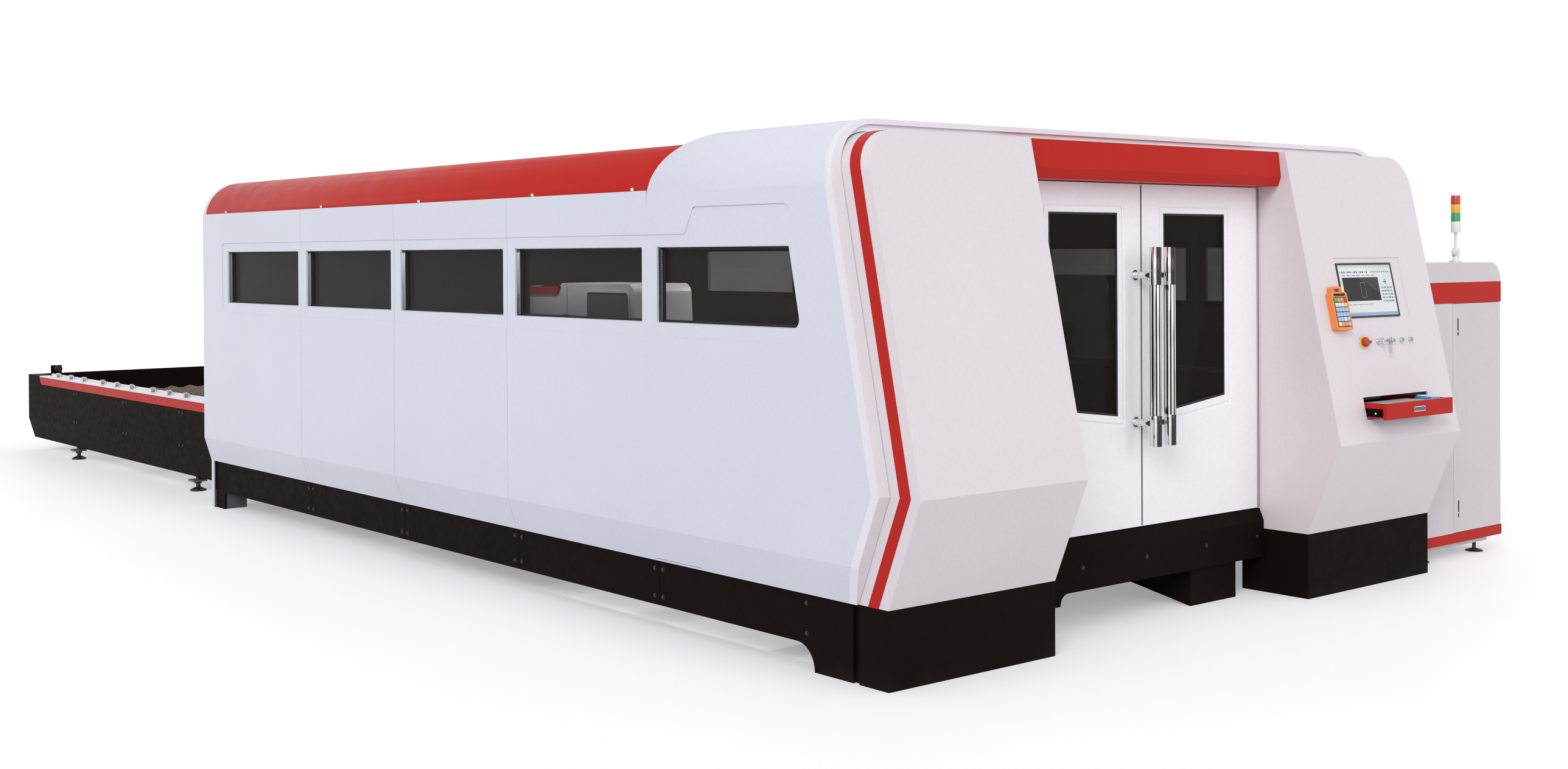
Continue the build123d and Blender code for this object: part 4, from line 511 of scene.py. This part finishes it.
class Piece:
    """A mesh in the making, with one material for each part that asks for another."""

    def __init__(self, name, finish_name=None):
        self.name = name
        self.mesh = bmesh.new()
        self.materials = []
        if finish_name:
            self.use(finish_name)

    def use(self, finish_name):
        if finish_name not in self.materials:
            self.materials.append(finish_name)
        self.current = self.materials.index(finish_name)

    def face(self, corners, smooth=False):
        made = self.mesh.faces.new(corners)
        made.material_index = self.current
        made.smooth = smooth

    def band(self, ring, following, smooth=False):
        """Faces that join one closed ring of vertices to the next."""
        count = len(ring)
        for step in range(count):
            after = (step + 1) % count
            self.face((ring[step], ring[after], following[after], following[step]), smooth)

    def turned(self, centre, axis, profile, sides=24):
        """Revolves (radius, height) pairs in millimetres round an axis."""
        axis = Vector(axis).normalized()
        across = axis.orthogonal().normalized()
        other = axis.cross(across)
        rings = []
        for radius, height in profile:
            ring = []
            for step in range(sides):
                angle = 2 * math.pi * step / sides
                out = (across * math.cos(angle) + other * math.sin(angle)) * (radius / 1000)
                ring.append(self.mesh.verts.new(centre + out + axis * (height / 1000)))
            rings.append(ring)
        for lower, upper in zip(rings, rings[1:]):
            self.band(lower, upper, sides > 8)
        self.face(list(reversed(rings[0])))
        self.face(rings[-1])

    def bolt(self, centre, outward, washer_radius, head, crown):
        """A round washer and a six-sided head, whose edge and crown are (radius, height) pairs."""
        self.turned(centre, outward, [(washer_radius, 0), (washer_radius, 1.2)], 20)
        self.turned(centre, outward, [(head[0], 1.2), head, crown], 6)

    def prism(self, outline, lift):
        """Closed solid from a flat loop of points and a lift vector."""
        low = [self.mesh.verts.new(point) for point in outline]
        high = [self.mesh.verts.new(point + lift) for point in outline]
        self.band(low, high)
        self.face(list(reversed(low)))
        self.face(high)

    def plate(self, centre, across, up, width, height, thickness, radius=0.0, steps=4):
        """Rounded rectangle of millimetres, raised along across x up."""
        across, up = across.normalized(), up.normalized()
        corners = []
        for index, (sx, sz) in enumerate(((1, 1), (-1, 1), (-1, -1), (1, -1))):
            hub = across * (sx * (width / 2 - radius)) + up * (sz * (height / 2 - radius))
            if radius == 0.0:
                corners.append(centre + hub / 1000)
                continue
            for step in range(steps + 1):
                angle = math.pi / 2 * (index + step / steps)
                arm = across * math.cos(angle) + up * math.sin(angle)
                corners.append(centre + (hub + arm * radius) / 1000)
        self.prism(corners, across.cross(up) * (thickness / 1000))

    def frame_strip(self, corners, width, normal, thickness):
        """Mitred strip inside a loop of corner points; width in metres, thickness along the normal."""
        middle = sum(corners, Vector()) / len(corners)
        inner = []
        for index, corner in enumerate(corners):
            back = (corners[index - 1] - corner).normalized()
            ahead = (corners[(index + 1) % len(corners)] - corner).normalized()
            half = back.angle(ahead) / 2
            towards = (back + ahead).normalized()
            if towards.dot(middle - corner) < 0:
                towards = -towards
            inner.append(corner + towards * (width / math.sin(half)))
        rings = []
        for loop, lift in ((corners, 0), (corners, thickness), (inner, thickness), (inner, 0)):
            rings.append([self.mesh.verts.new(point + normal * lift) for point in loop])
        for ring, following in zip(rings, rings[1:] + rings[:1]):
            self.band(ring, following)

    def done(self, body, slot=None, edge=0.0):
        bmesh.ops.recalc_face_normals(self.mesh, faces=self.mesh.faces[:])
        data = bpy.data.meshes.new(self.name)
        self.mesh.to_mesh(data)
        self.mesh.free()
        for finish_name in self.materials:
            data.materials.append(finish(finish_name))
        piece = add_object(self.name, data)
        if edge:
            ease_edges(piece, edge, 40)
        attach(piece, body)
        return piece


class MACHINE_OT_walls(bpy.types.Operator):
    """Paint the side walls, hood, roof, rear wall and plinth"""
    bl_idname = "machine.walls"
    bl_label = "Walls and roof"

    def execute(self, context):
        dress("wall_paint", 0.0012, "left_panels", "right_panels", "hood_sides", "hood_top", "roof_deck",
              "rear_wall")
        dress("rim_paint", 0.0015, "portal_rim")
        dress("roof_red_paint", 0.0012, "roof_covers")
        dress("plinth_paint", 0.0015, "plinth_boxes", "front_plinth")
        dress("frame_paint", 0.0015, "bed_frame")
        dress("ground_steel", 0.0006, "guide_rails")
        return {"FINISHED"}


def side_window_loops():
    """Rounded (y, z) loops of the five windows in one side."""
    lean = console_out.z / -console_out.y
    foot = window_corner_y - lean * (window_high - window_low)
    loops = [rounded([(foot, window_low, 34), (hood_rear - 66, window_low, 0),
                      (hood_rear - 66, window_high, 0), (window_corner_y, window_high, 10)])]
    rears = [joint - 66 for joint in panel_joints[1:]] + [5575.0]
    for joint, rear in zip(panel_joints, rears):
        front = joint + 36
        loops.append([(front, window_low), (rear, window_low), (rear, window_high), (front, window_high)])
    return loops


class MACHINE_OT_side_windows(bpy.types.Operator):
    """Glaze the side windows and fit their gaskets, aluminium channels and rows of light beads"""
    bl_idname = "machine.side_windows"
    bl_label = "Side windows"

    def execute(self, context):
        dress("side_window_sheet", 0, "side_windows")
        sizes = context.scene.machine_sizes
        gasket = Piece("side_window_gaskets", "black_rubber")
        channel = Piece("side_window_channels", "anodised_aluminium")
        beads = Piece("window_light_beads", "white_plastic")
        seal_depth = 0.011
        bead_pitch = 9.0
        bead_count = int((window_high - window_low - 24) / bead_pitch) + 1
        for loop in side_window_loops():
            rear = max(y for y, z in loop)
            for side, outward in ((pane_x, -X), (mirrored_x(pane_x), X)):
                corners = [at(side, y, z) for y, z in loop]
                gasket.frame_strip(corners, 0.004, outward, seal_depth)
                gasket.frame_strip(corners, sizes.gasket_lip, outward, 0.003)
                lifted = [corner + outward * (seal_depth + 0.003) for corner in corners]
                channel.frame_strip(lifted, 0.003, outward, sizes.channel_width)
                for step in range(bead_count):
                    place = at(side, rear - 3.0, window_low + 14 + step * bead_pitch)
                    hub = place + outward * (seal_depth + 0.0015)
                    beads.turned(hub, -Y, [(1.9, -1), (1.9, 0.4), (0.8, 1.3)], 8)
        for piece in (gasket, channel, beads):
            piece.done("housing")
        return {"FINISHED"}


class MACHINE_OT_wall_fasteners(bpy.types.Operator):
    """Hang the small hooks on the roof covers' lower edge and set the bolts of the plinth"""
    bl_idname = "machine.wall_fasteners"
    bl_label = "Hooks and bolts"

    def execute(self, context):
        self.hooks(context.scene.machine_sizes.clip_size * 1000)
        self.bolts(context.scene.machine_sizes.bolt_radius * 1000)
        return {"FINISHED"}

    def hooks(self, height):
        cover_x, cover_foot = wall_x + 3.8, 1763
        hooks = Piece("roof_cover_hooks", "white_plastic")
        for y in (1438, 2200, 3235, 4315, 5593):
            for x, across in ((cover_x, -Y), (mirrored_x(cover_x), Y)):
                hooks.plate(at(x, y, cover_foot), across, Z, height * 1.45, height, 3.5, 2.5)
                tongue = at(x, y - height * 0.5, cover_foot - height * 0.75)
                hooks.plate(tongue, across, Z, height * 0.4, height * 0.7, 3.0, 1.5)
        hooks.done("housing", "rim_white")

    def bolts(self, radius):
        bolts = Piece("plinth_bolts", "black_plastic")
        shape = (radius * 1.35, (radius, 5.0), (radius * 0.85, 6.0))
        along = [430.0] + [joint + side for joint in panel_joints for side in (-28, 28)]
        for x, outward in ((0.0, -X), (machine_width, X)):
            for y in along:
                for z in (135, 245):
                    bolts.bolt(at(x, y, z), outward, *shape)
        foot_y, foot_z = 224, 250
        for x in (900, 1260, 1657, 2054, 2414):
            bolts.bolt(at(x, foot_y, foot_z), -Y, *shape)
        bolts.done("housing")


class MACHINE_OT_pods(bpy.types.Operator):
    """Paint the front pods, their stripes and the lintel"""
    bl_idname = "machine.pods"
    bl_label = "Pods and lintel"

    def execute(self, context):
        dress("pod_paint", 0.0025, "left_pod")
        dress("pod_paint", 0.0012, "right_pod")
        dress("red_paint", 0, "pod_stripes")
        dress("red_paint", 0.0015, "lintel")
        return {"FINISHED"}


class MACHINE_OT_doors(bpy.types.Operator):
    """Paint and glaze the doors and fit gaskets, window borders and handle sleeves"""
    bl_idname = "machine.doors"
    bl_label = "Doors"

    def execute(self, context):
        dress("turned_steel", 0, "door_pivots")
        for side, sign in (("left", -1), ("right", 1)):
            body = side + "_door"
            dress("door_paint", 0.0012, body)
            dress("door_window_sheet", 0, body + "_pane")
            dress(side + "_tube_chrome", 0.001, body + "_handle")
            near = door_seam + sign * pane_near
            far = near + sign * pane_width
            self.gasket(body, near, far)
            self.window_border(body, sign, near, far)
            self.sleeves(body, side, sign, context.scene.machine_sizes)
        return {"FINISHED"}

    def gasket(self, body, near, far):
        """The pane's seal, and dark strips down both edges of the door that are painted shade for the
        shadowed gaps beside it.
        """
        gasket = Piece(body + "_gasket", "black_rubber")
        pane_front, edge_shade_inset = 251.8, 1.7
        loop = ((near, pane_foot_near), (far, pane_foot_far), (far, pane_head), (near, pane_head))
        gasket.frame_strip([at(x, pane_front, z) for x, z in loop], 0.009, -Y, 0.004)
        # Painted shade: black strips down the door's edges stand for the shadow in the gaps at its seam and
        # beside the pod
        low, high = span(body)
        for x in (low.x + edge_shade_inset, high.x - edge_shade_inset):
            gasket.plate(at(x, low.y, (low.z + high.z) / 2), X, Z, 3.2, high.z - low.z - 6, 0.5)
        gasket.done(body)

    def window_border(self, body, sign, near, far):
        """The thin raised line pressed into the door round its window."""
        reach, corner = 28.0, 14
        slope = (pane_foot_far - pane_foot_near) / pane_width
        near, far = near - sign * reach, far + sign * reach
        ring = rounded([(near, pane_foot_near - reach * (1 + slope), corner),
                        (far, pane_foot_far - reach * (1 - slope), corner),
                        (far, pane_head + reach, corner), (near, pane_head + reach, corner)])
        border = Piece(body + "_window_border", "door_paint")
        border.frame_strip([at(x, span(body)[0].y + 0.1, z) for x, z in ring], 0.0025, -Y, 0.0018)
        border.done(body)

    def sleeves(self, body, side, sign, sizes):
        sleeves = Piece(body + "_handle_sleeves", side + "_sleeve_chrome")
        x = door_seam + sign * handle_from_seam
        tube_foot, tube_head = 711.5, 1520.5
        for z, along, share in ((tube_foot, Z, sizes.low_sleeve), (tube_head, -Z, sizes.top_sleeve)):
            length = share * 1000
            shape = [(21, 0), (24.6, 1.5), (24.6, length), (24.1, length + 1)]
            sleeves.turned(at(x, handle_y, z), along, shape, 32)
        sleeves.done(body, "handle_chrome")


class MACHINE_OT_console(bpy.types.Operator):
    """Finish the monitor, the buttons and switches of the console"""
    bl_idname = "machine.console"
    bl_label = "Console"

    def execute(self, context):
        dress("black_plastic", 0.001, "monitor_frame")
        dress("display_white", 0, "monitor_screen")
        dress("handle_chrome", 0.0006, "control_rings", "selector_knob")
        dress("stop_red_plastic", 0.0005, "emergency_stop")
        dress("handle_chrome", 0.0004, "key_switch")
        for number in (1, 2, 3):
            self.button(number)
        self.display()
        self.switch_faces()
        return {"FINISHED"}

    def button(self, number):
        """A chrome button with a green lens on its crown."""
        name = f"push_button_{number}"
        dress("handle_chrome", 0.0008, name)
        low, high = span(name)
        x = (low.x + high.x) / 2
        foot = on_console(x, controls_z)
        button = nodes[name]
        crown = max(console_out.dot(button.matrix_world @ vertex.co - foot)
                    for vertex in button.data.vertices)
        lens = Piece(f"button_lens_{number}", "button_green_lens")
        lens.turned(on_console(x, controls_z, crown * 1000 - 0.3), console_out,
                    [(9.0, 0), (9.0, 0.9), (7.0, 1.6), (2.0, 1.9)], 28)
        lens.done(f"button_{number}", "button_green")

    def display(self):
        """A plain working picture: bars, icon row, black drawing window and lists of grey tiles."""
        tiles = Piece("display_tiles")
        pane_lift, line = -1.9, 1.6
        left, right, low, high = 2702, 3114, 1216, 1436

        def tile(x0, x1, z0, z1, finish_name, layer=0):
            tiles.use(finish_name)
            centre = on_console((x0 + x1) / 2, (z0 + z1) / 2, pane_lift + layer * 0.2)
            tiles.plate(centre, X, console_up, x1 - x0, (z1 - z0) / console_up.z, 0.2)

        def grey_row(count, x, pitch, width, z0, z1, layer=0):
            for start in range(x, x + count * pitch, pitch):
                tile(start, start + width, z0, z1, "display_grey", layer)

        tile(left, right, high - 10, high, "display_bar")
        for step in range(14):
            x = left + 6 + step * 16
            tile(x, x + 9, high - 34, high - 26, "display_ink" if step % 3 else "display_blue")
        grey_row(9, left + 250, 17, 12, high - 32, high - 27)
        grey_row(7, left + 20, 38, 28, high - 46, high - 42)
        drawing = (left + 18, left + 300, high - 157, high - 53)
        tile(*drawing, "display_black")
        self.sheen(tiles, drawing, pane_lift + 0.4)
        x0, x1, z0, z1 = left + 150, left + 188, high - 142, high - 76
        for outline in ((x0, x1, z0, z0 + line), (x0, x1, z1 - line, z1),
                        (x0, x0 + line, z0, z1), (x1 - line, x1, z0, z1)):
            tile(*outline, "display_grey", 3)
        for x, z in ((352, -66), (344, -74), (360, -74), (352, -74), (352, -82)):
            tile(left + x - 3, left + x + 3, high + z - 3, high + z + 3, "display_ink")
        for row in range(5):
            for column in range(4):
                x = left + 314 + column * 23
                z = high - 104 - row * 15
                tile(x, x + 17, z, z + 8, "display_grey" if (row + column) % 4 else "display_blue")
        tile(left + 18, left + 300, low + 18, low + 56, "key_white_plastic")
        grey_row(5, left + 24, 42, 34, low + 46, low + 49, 1)
        tile(left, right, low, low + 12, "display_blue")
        tile(left + 2, left + 34, low + 1, low + 11, "key_green_plastic", 1)
        tiles.done("housing")

    def sheen(self, tiles, window, lift):
        """The paler corner that a reflection leaves on the drawing window."""
        x0, x1, z0, z1 = window
        corners = ((x0 + 120, z1 - 1), (x1 - 1, z1 - 1), (x1 - 1, z0 + 30))
        tiles.use("display_black_sheen")
        tiles.prism([on_console(x, z, lift) for x, z in corners], console_out * 0.0002)

    def switch_faces(self):
        """Yellow collar face, lamp cap and the mark on the selector."""
        collar = Piece("stop_collar_face", "collar_yellow_plastic")
        collar.turned(on_console(stop_x, controls_z, 3.9), console_out,
                      [(29.4, 0), (29.4, 0.7), (28.6, 1.2), (12, 1.2)], 40)
        collar.done("housing")
        lamp = Piece("lamp_cap", "black_plastic")
        lamp.turned(on_console(lamp_x, controls_z, 7.9), console_out,
                    [(6.5, 0), (6.2, 1.5), (4, 2.8), (1, 3.2)])
        lamp.done("housing")
        mark = Piece("selector_mark", "black_rubber")
        knob_face = on_console(selector_x, controls_z, 28.9)
        mark.plate(knob_face + console_up * 0.007, X, console_up, 2.0, 9.0, 0.4)
        mark.done("selector")


# The pendant's outline on the console, and its rows of keys from the bottom, each from the left
pendant_left, pendant_low = 2566.0, 1152.0
pendant_width, pendant_height = 118, 190
key_margin, key_foot, key_gap = 12.0, 16.0, 3.4
key_rows = (
    ("white", "orange", "orange", "blue"),
    ("blue", "blue", "white", "blue"),
    ("blue", "blue", "blue", "blue"),
    ("blue", "blue", "blue", "blue"),
    ("white", "white", "white", "yellow"),
    ("green", "orange", "orange", "red"),
)


class MACHINE_OT_pendant(bpy.types.Operator):
    """Finish the hand pendant with its black key field, coloured keys and small display"""
    bl_idname = "machine.pendant"
    bl_label = "Hand pendant"

    def execute(self, context):
        dress("pendant_plastic", 0.0012, "pendant")
        pitch_x = (pendant_width - 2 * key_margin) / len(key_rows[0])
        pitch_z = (pendant_height - 66) / len(key_rows)
        middle = pendant_left + pendant_width / 2
        keys_low = pendant_low + key_foot
        face, key_seat = 29.9, 30.2
        field = Piece("pendant_key_field", "black_plastic")
        field.plate(on_console(middle, keys_low + pitch_z * 3, face), X, console_up,
                    98, (pitch_z * 6 + 4) / console_up.z, 0.8, 3.0)
        field.use("display_black")
        field.plate(on_console(middle, pendant_low + 152, face), X, console_up, 84, 12, 0.8, 2.0)
        field.done("housing")
        keys = Piece("pendant_keys")
        for row, key_colours in enumerate(key_rows):
            for column, colour in enumerate(key_colours):
                keys.use(f"key_{colour}_plastic")
                place = on_console(pendant_left + key_margin + pitch_x * (column + 0.5),
                                   keys_low + pitch_z * (row + 0.5), key_seat)
                keys.plate(place, X, console_up, pitch_x - key_gap,
                           (pitch_z - key_gap) / console_up.z, 2.6, 2.5)
        keys.done("housing", edge=0.0006)
        return {"FINISHED"}


class MACHINE_OT_keyboard_drawer(bpy.types.Operator):
    """Finish the drawer, keyboard and mouse"""
    bl_idname = "machine.keyboard_drawer"
    bl_label = "Keyboard drawer"

    def execute(self, context):
        dress("grey_paint", 0.0008, "drawer_shelf")
        dress("plinth_paint", 0.0008, "drawer_tray")
        dress("red_paint", 0.0025, "drawer_front")
        dress("keyboard_plastic", 0.0008, "keyboard")
        dress("mouse_shell_plastic", 0, "mouse")
        self.pull()
        self.tray_lips()
        wheel = Piece("mouse_wheel", "black_rubber")
        low, high = span("mouse")
        hub = at((low.x + high.x) / 2 - 3.5, high.y - 30, high.z - 7)
        wheel.turned(hub, X, [(7, 0), (8, 1), (8, 6), (7, 7)], 20)
        wheel.done("keyboard_drawer")
        return {"FINISHED"}

    def pull(self):
        """Chrome-edged dark plate in the front's recess."""
        front = span("drawer_front")[0].y
        middle, height, corner = 2962, 808, 4
        pull = Piece("drawer_pull", "frame_paint")
        pull.plate(at(middle, front + 6, height), X, Z, 95, 23, 2.0, corner)
        pull.use("handle_chrome")
        ring = rounded([(middle + x, height + z, corner)
                        for x, z in ((-47, -11), (47, -11), (47, 11), (-47, 11))])
        pull.frame_strip([at(x, front + 4.4, z) for x, z in ring], 0.003, -Y, 0.0022)
        pull.done("keyboard_drawer")

    def tray_lips(self):
        """Red lips along the tray's sides, a thin red strip under them and a screw."""
        low, high = span("drawer_tray")
        lips = Piece("drawer_side_lips", "red_paint")
        front, rear, screw_y = low.y, 108.0, -175
        middle = (front + rear) / 2
        for x, inward, along in ((low.x, 1, Y), (high.x, -1, -Y)):
            lips.plate(at(x, middle, high.z + 11.9), along, Z, rear - front, 24, 3.0, 2)
            lips.plate(at(x - 2.0 * inward, middle, low.z - 2.6), along, Z, rear - front, 5, 2.0, 1)
        lips.use("white_plastic")
        for x, outward in ((low.x, -X), (high.x, X)):
            screw = at(x, screw_y, (low.z + high.z) / 2 - 3)
            lips.turned(screw, outward, [(4.5, -0.5), (4.5, 0.2), (3.8, 0.25)], 20)
        lips.done("keyboard_drawer")


class MACHINE_OT_cabinet(bpy.types.Operator):
    """Finish the control cabinet, its bands, locks and feet"""
    bl_idname = "machine.cabinet"
    bl_label = "Control cabinet"

    def execute(self, context):
        dress("cabinet_paint", 0.0015, "cabinet_body", "cabinet_door", "cabinet_cap")
        dress("red_paint", 0.0012, "cabinet_bands")
        dress("black_plastic", 0.001, "levelling_feet")
        locks = Piece("cabinet_locks")
        x = span("cabinet_door")[0].x + 47.5
        slot_face, barrel_foot = 104.9, 102.6
        for z in (201, 1085):
            locks.use("black_plastic")
            locks.plate(at(x, slot_face, z + 42), X, Z, 14, 82, 2.4, 5)
            locks.use("handle_chrome")
            locks.turned(at(x, barrel_foot, z + 22), -Y, [(4.5, 0), (4.5, 1.2), (3.8, 1.6)], 20)
        locks.done("cabinet_leaf")
        return {"FINISHED"}


class MACHINE_OT_signal_tower(bpy.types.Operator):
    """Finish the signal tower"""
    bl_idname = "machine.signal_tower"
    bl_label = "Signal tower"

    def execute(self, context):
        dress("white_plastic", 0.0006, "signal_base")
        dress("white_plastic", 0.0008, "signal_mast")
        dress("signal_lens_plastic", 0.0006, "signal_lenses")
        return {"FINISHED"}


class MACHINE_OT_changer(bpy.types.Operator):
    """Finish the pallet changer, its rollers, buffers and bolts"""
    bl_idname = "machine.changer"
    bl_label = "Pallet changer"

    def execute(self, context):
        dress("plinth_paint", 0.0012, "changer_skirts")
        dress("rim_paint", 0.0008, "changer_rails")
        dress("red_paint", 0.0006, "changer_trim")
        dress("frame_paint", 0.0012, "changer_frame")
        dress("turned_steel", 0.0008, "pallet_rollers")
        buffer_x, buffer_y, buffer_z = 330, 9907.5, 625
        skirt_x = 125
        pads = Piece("buffer_pads", "black_rubber")
        for x in (buffer_x, mirrored_x(buffer_x)):
            pads.turned(at(x, buffer_y, buffer_z), -Y, [(24.4, -40), (24.4, -4), (20, 0)], 28)
        pads.done("housing")
        bolts = Piece("changer_bolts", "black_plastic")
        for x, outward in ((skirt_x, -X), (mirrored_x(skirt_x), X)):
            for joint in (6790, 7830, 8870):
                for y in (joint - 28, joint + 28):
                    for z in (290, 500):
                        bolts.bolt(at(x, y, z), outward, 8.5, (6.5, 4.6), (5.6, 5.4))
        bolts.done("housing")
        return {"FINISHED"}


class MACHINE_OT_pallets(bpy.types.Operator):
    """Finish both pallets and their slats"""
    bl_idname = "machine.pallets"
    bl_label = "Pallets"

    def execute(self, context):
        dress("pallet_steel", 0.0015, "upper_pallet", "lower_pallet")
        dress("slat_steel", 0, "upper_slats", "lower_slats")
        return {"FINISHED"}


class MACHINE_OT_gantry(bpy.types.Operator):
    """Finish the gantry and its cutting head, and mould its end covers with sunk fields, bands and vents"""
    bl_idname = "machine.gantry"
    bl_label = "Gantry"

    def execute(self, context):
        dress("grey_paint", 0.0015, "gantry_beam")
        dress("anodised_aluminium", 0.002, "x_carriage")
        dress("anodised_aluminium", 0.0015, "cutting_head")
        low, high = span("gantry_covers")
        covers = Piece("gantry_end_covers")
        inner_x, inset = 360, 4
        width = (inner_x - low.x - inset) / 1000
        for x, inward in ((low.x, X), (high.x, -X)):
            self.cover(covers, x + inset * inward.x, inward, high.y, width)
        moulded = covers.done("gantry", "rim_white", edge=0.002)
        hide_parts("gantry_covers")
        return {"FINISHED"}

    def cover(self, covers, x, inward, rear, width):
        """One end cover: sunk dark field inside a pale border, red rear band, seam and vent."""
        front = rear - 840
        foot, step, top = 940, 1364, 1379

        def loop(corners, sunk=0.0):
            return [at(x - sunk * inward.x, y, z) for y, z in rounded(corners)]

        def raised(finish_name, corners, lift):
            covers.use(finish_name)
            covers.prism(loop(corners, 0.2), -inward * lift)

        covers.use("rim_paint")
        side = loop([(front, foot, 0), (front + 26, top, 45), (rear - 265, top, 25),
                     (rear - 250, step, 8), (rear, step, 8), (rear, foot, 0)])
        covers.prism(side, inward * width)
        border = loop([(front + 30, 980, 4), (front + 56, top - 30, 30), (rear - 460, top - 30, 20),
                       (rear - 450, 980, 4)])
        covers.use("frame_paint")
        covers.prism([point - inward * 0.0006 for point in border], -inward * 0.0004)
        covers.use("rim_paint")
        covers.frame_strip([point - inward * 0.0002 for point in border], 0.008, -inward, 0.0030)
        raised("red_paint", [(rear - 232, 1328, 4), (rear - 271, 1356, 22), (rear - 258, step, 6),
                             (rear - 2, step - 2, 3), (rear - 2, 1328, 3)], 0.0022)
        raised("black_rubber", [(rear - 309, 945, 0), (rear - 307, 945, 0), (rear - 307, 1372, 0),
                                (rear - 309, 1372, 0)], 0.0005)
        raised("black_plastic", [(rear - 322, 1195, 3), (rear - 322, 1243, 3), (rear - 272, 1243, 3),
                                 (rear - 272, 1195, 3)], 0.0016)


# The camera stands where the photograph was taken from; its lens is in the photograph's pixels
image_width, image_height = 2576, 1264
camera_place = (-4074.4, -4372.0, 1500.0)
camera_yaw = math.radians(39.627)
camera_pitch = math.radians(-0.32)
camera_roll = math.radians(0.31)
camera_focal = 2879.35
optical_centre_y = 433.7


class MACHINE_OT_stage(bpy.types.Operator):
    """Lay the floor, hang the lamps and set the camera"""
    bl_idname = "machine.stage"
    bl_label = "Stage"

    def execute(self, context):
        self.floor()
        self.world(context.scene)
        self.lamps()
        self.camera(context.scene)
        context.scene.view_settings.view_transform = "Standard"
        return {"FINISHED"}

    def floor(self):
        mesh = bmesh.new()
        bmesh.ops.create_grid(mesh, x_segments=1, y_segments=1, size=150)
        data = bpy.data.meshes.new("floor")
        mesh.to_mesh(data)
        mesh.free()
        skin = Surface("floor_pale")
        tone = skin.blend(skin.noise(0.6), (0.74, 0.74, 0.745), (0.76, 0.76, 0.765))
        glow = skin.remap(skin.seen_directly(), 0.0, 1.0, 0.0, 0.42)
        skin.set(Base_Color=tone, Emission_Color=tone, Emission_Strength=glow, Roughness=0.5,
                 Specular_IOR_Level=0.1)
        data.materials.append(skin.material)
        add_object("floor", data)

    def world(self, scene):
        """Soft light on the machine, and plain white where the background itself is seen."""
        scene.world = scene.world or bpy.data.worlds.new("studio")
        scene.world.use_nodes = True
        scene.world.node_tree.nodes.clear()
        sky = Nodes(scene.world.node_tree)
        lit = sky.node("ShaderNodeBackground", Color=(0.94, 0.95, 1.0, 1.0), Strength=0.73)
        seen = sky.node("ShaderNodeBackground", Color=(1.0, 1.0, 1.0, 1.0), Strength=1.0)
        mix = sky.node("ShaderNodeMixShader", sky.seen_directly(), lit.outputs[0], seen.outputs[0])
        sky.node("ShaderNodeOutputWorld", Surface=mix.outputs[0])

    def lamps(self):
        self.lamp("key", "SUN", (0.72, 0.44, -0.50), 1.22, color=(1.0, 0.985, 0.97), angle=math.radians(25))
        self.lamp("front", "SUN", (-0.20, 0.90, -0.35), 0.42, color=(1.0, 0.98, 0.97), angle=math.radians(30))
        self.lamp("cabin", "AREA", (-0.75, 0.6, -0.55), 14.0, (900, 1400, 1720),
                  shape="RECTANGLE", size=0.5, size_y=0.2)
        self.lamp("cabin_edge", "AREA", (0.15, 0.0, -1.0), 5.0, (-5, 2000, 1640),
                  shape="RECTANGLE", size=0.9, size_y=0.04)

    def lamp(self, name, kind, travel, power, place=None, **settings):
        """A lamp that shines along its travel, hung at a place in machine millimetres where that matters."""
        data = bpy.data.lights.new(name, kind)
        data.energy = power
        for key, value in settings.items():
            setattr(data, key, value)
        light = add_object(name, data)
        if place:
            light.location = at(*place)
        light.rotation_mode = "QUATERNION"
        light.rotation_quaternion = Vector(travel).to_track_quat("-Z", "Y")

    def camera(self, scene):
        data = bpy.data.cameras.new("camera")
        data.sensor_width = 36.0
        data.lens = camera_focal / image_width * data.sensor_width
        data.shift_y = (optical_centre_y - image_height / 2) / image_width
        data.clip_end = 200
        forward = Vector((math.sin(camera_yaw), math.cos(camera_yaw), 0)) * math.cos(camera_pitch)
        forward.z = math.sin(camera_pitch)
        right = Vector((math.cos(camera_yaw), -math.sin(camera_yaw), 0))
        up = right.cross(forward)
        turn = Matrix.Rotation(camera_roll, 3, forward)
        axes = (turn @ right, turn @ up, -forward, at(*camera_place))
        scene.camera = add_object("camera", data)
        scene.camera.matrix_world = Matrix([(*axis, 0) for axis in axes[:3]] + [(*axes[3], 1)]).transposed()


operators = (
    MACHINE_OT_walls, MACHINE_OT_side_windows, MACHINE_OT_wall_fasteners, MACHINE_OT_pods,
    MACHINE_OT_doors, MACHINE_OT_console, MACHINE_OT_pendant, MACHINE_OT_keyboard_drawer,
    MACHINE_OT_cabinet, MACHINE_OT_signal_tower, MACHINE_OT_changer, MACHINE_OT_pallets,
    MACHINE_OT_gantry, MACHINE_OT_stage,
)


class MACHINE_PT_sidebar(bpy.types.Panel):
    """The machine's sizes, colours and pieces"""
    bl_idname = "MACHINE_PT_sidebar"
    bl_label = "Cutting machine"
    bl_space_type = "VIEW_3D"
    bl_region_type = "UI"
    bl_category = "Cutting machine"

    def draw(self, context):
        for group in (context.scene.machine_sizes, context.scene.machine_colours):
            for name in type(group).__annotations__:
                self.layout.prop(group, name)
        for operator in operators:
            self.layout.operator(operator.bl_idname)


classes = (MachineSizes, MachineColours, *operators, MACHINE_PT_sidebar)


def register():
    for item in classes:
        bpy.utils.register_class(item)
    bpy.types.Scene.machine_sizes = bpy.props.PointerProperty(type=MachineSizes)
    bpy.types.Scene.machine_colours = bpy.props.PointerProperty(type=MachineColours)


def unregister():
    del bpy.types.Scene.machine_colours
    del bpy.types.Scene.machine_sizes
    for item in reversed(classes):
        bpy.utils.unregister_class(item)


def main():
    register()
    for operator in operators:
        group, name = operator.bl_idname.split(".")
        getattr(getattr(bpy.ops, group), name)()


if __name__ == "__main__":
    main()
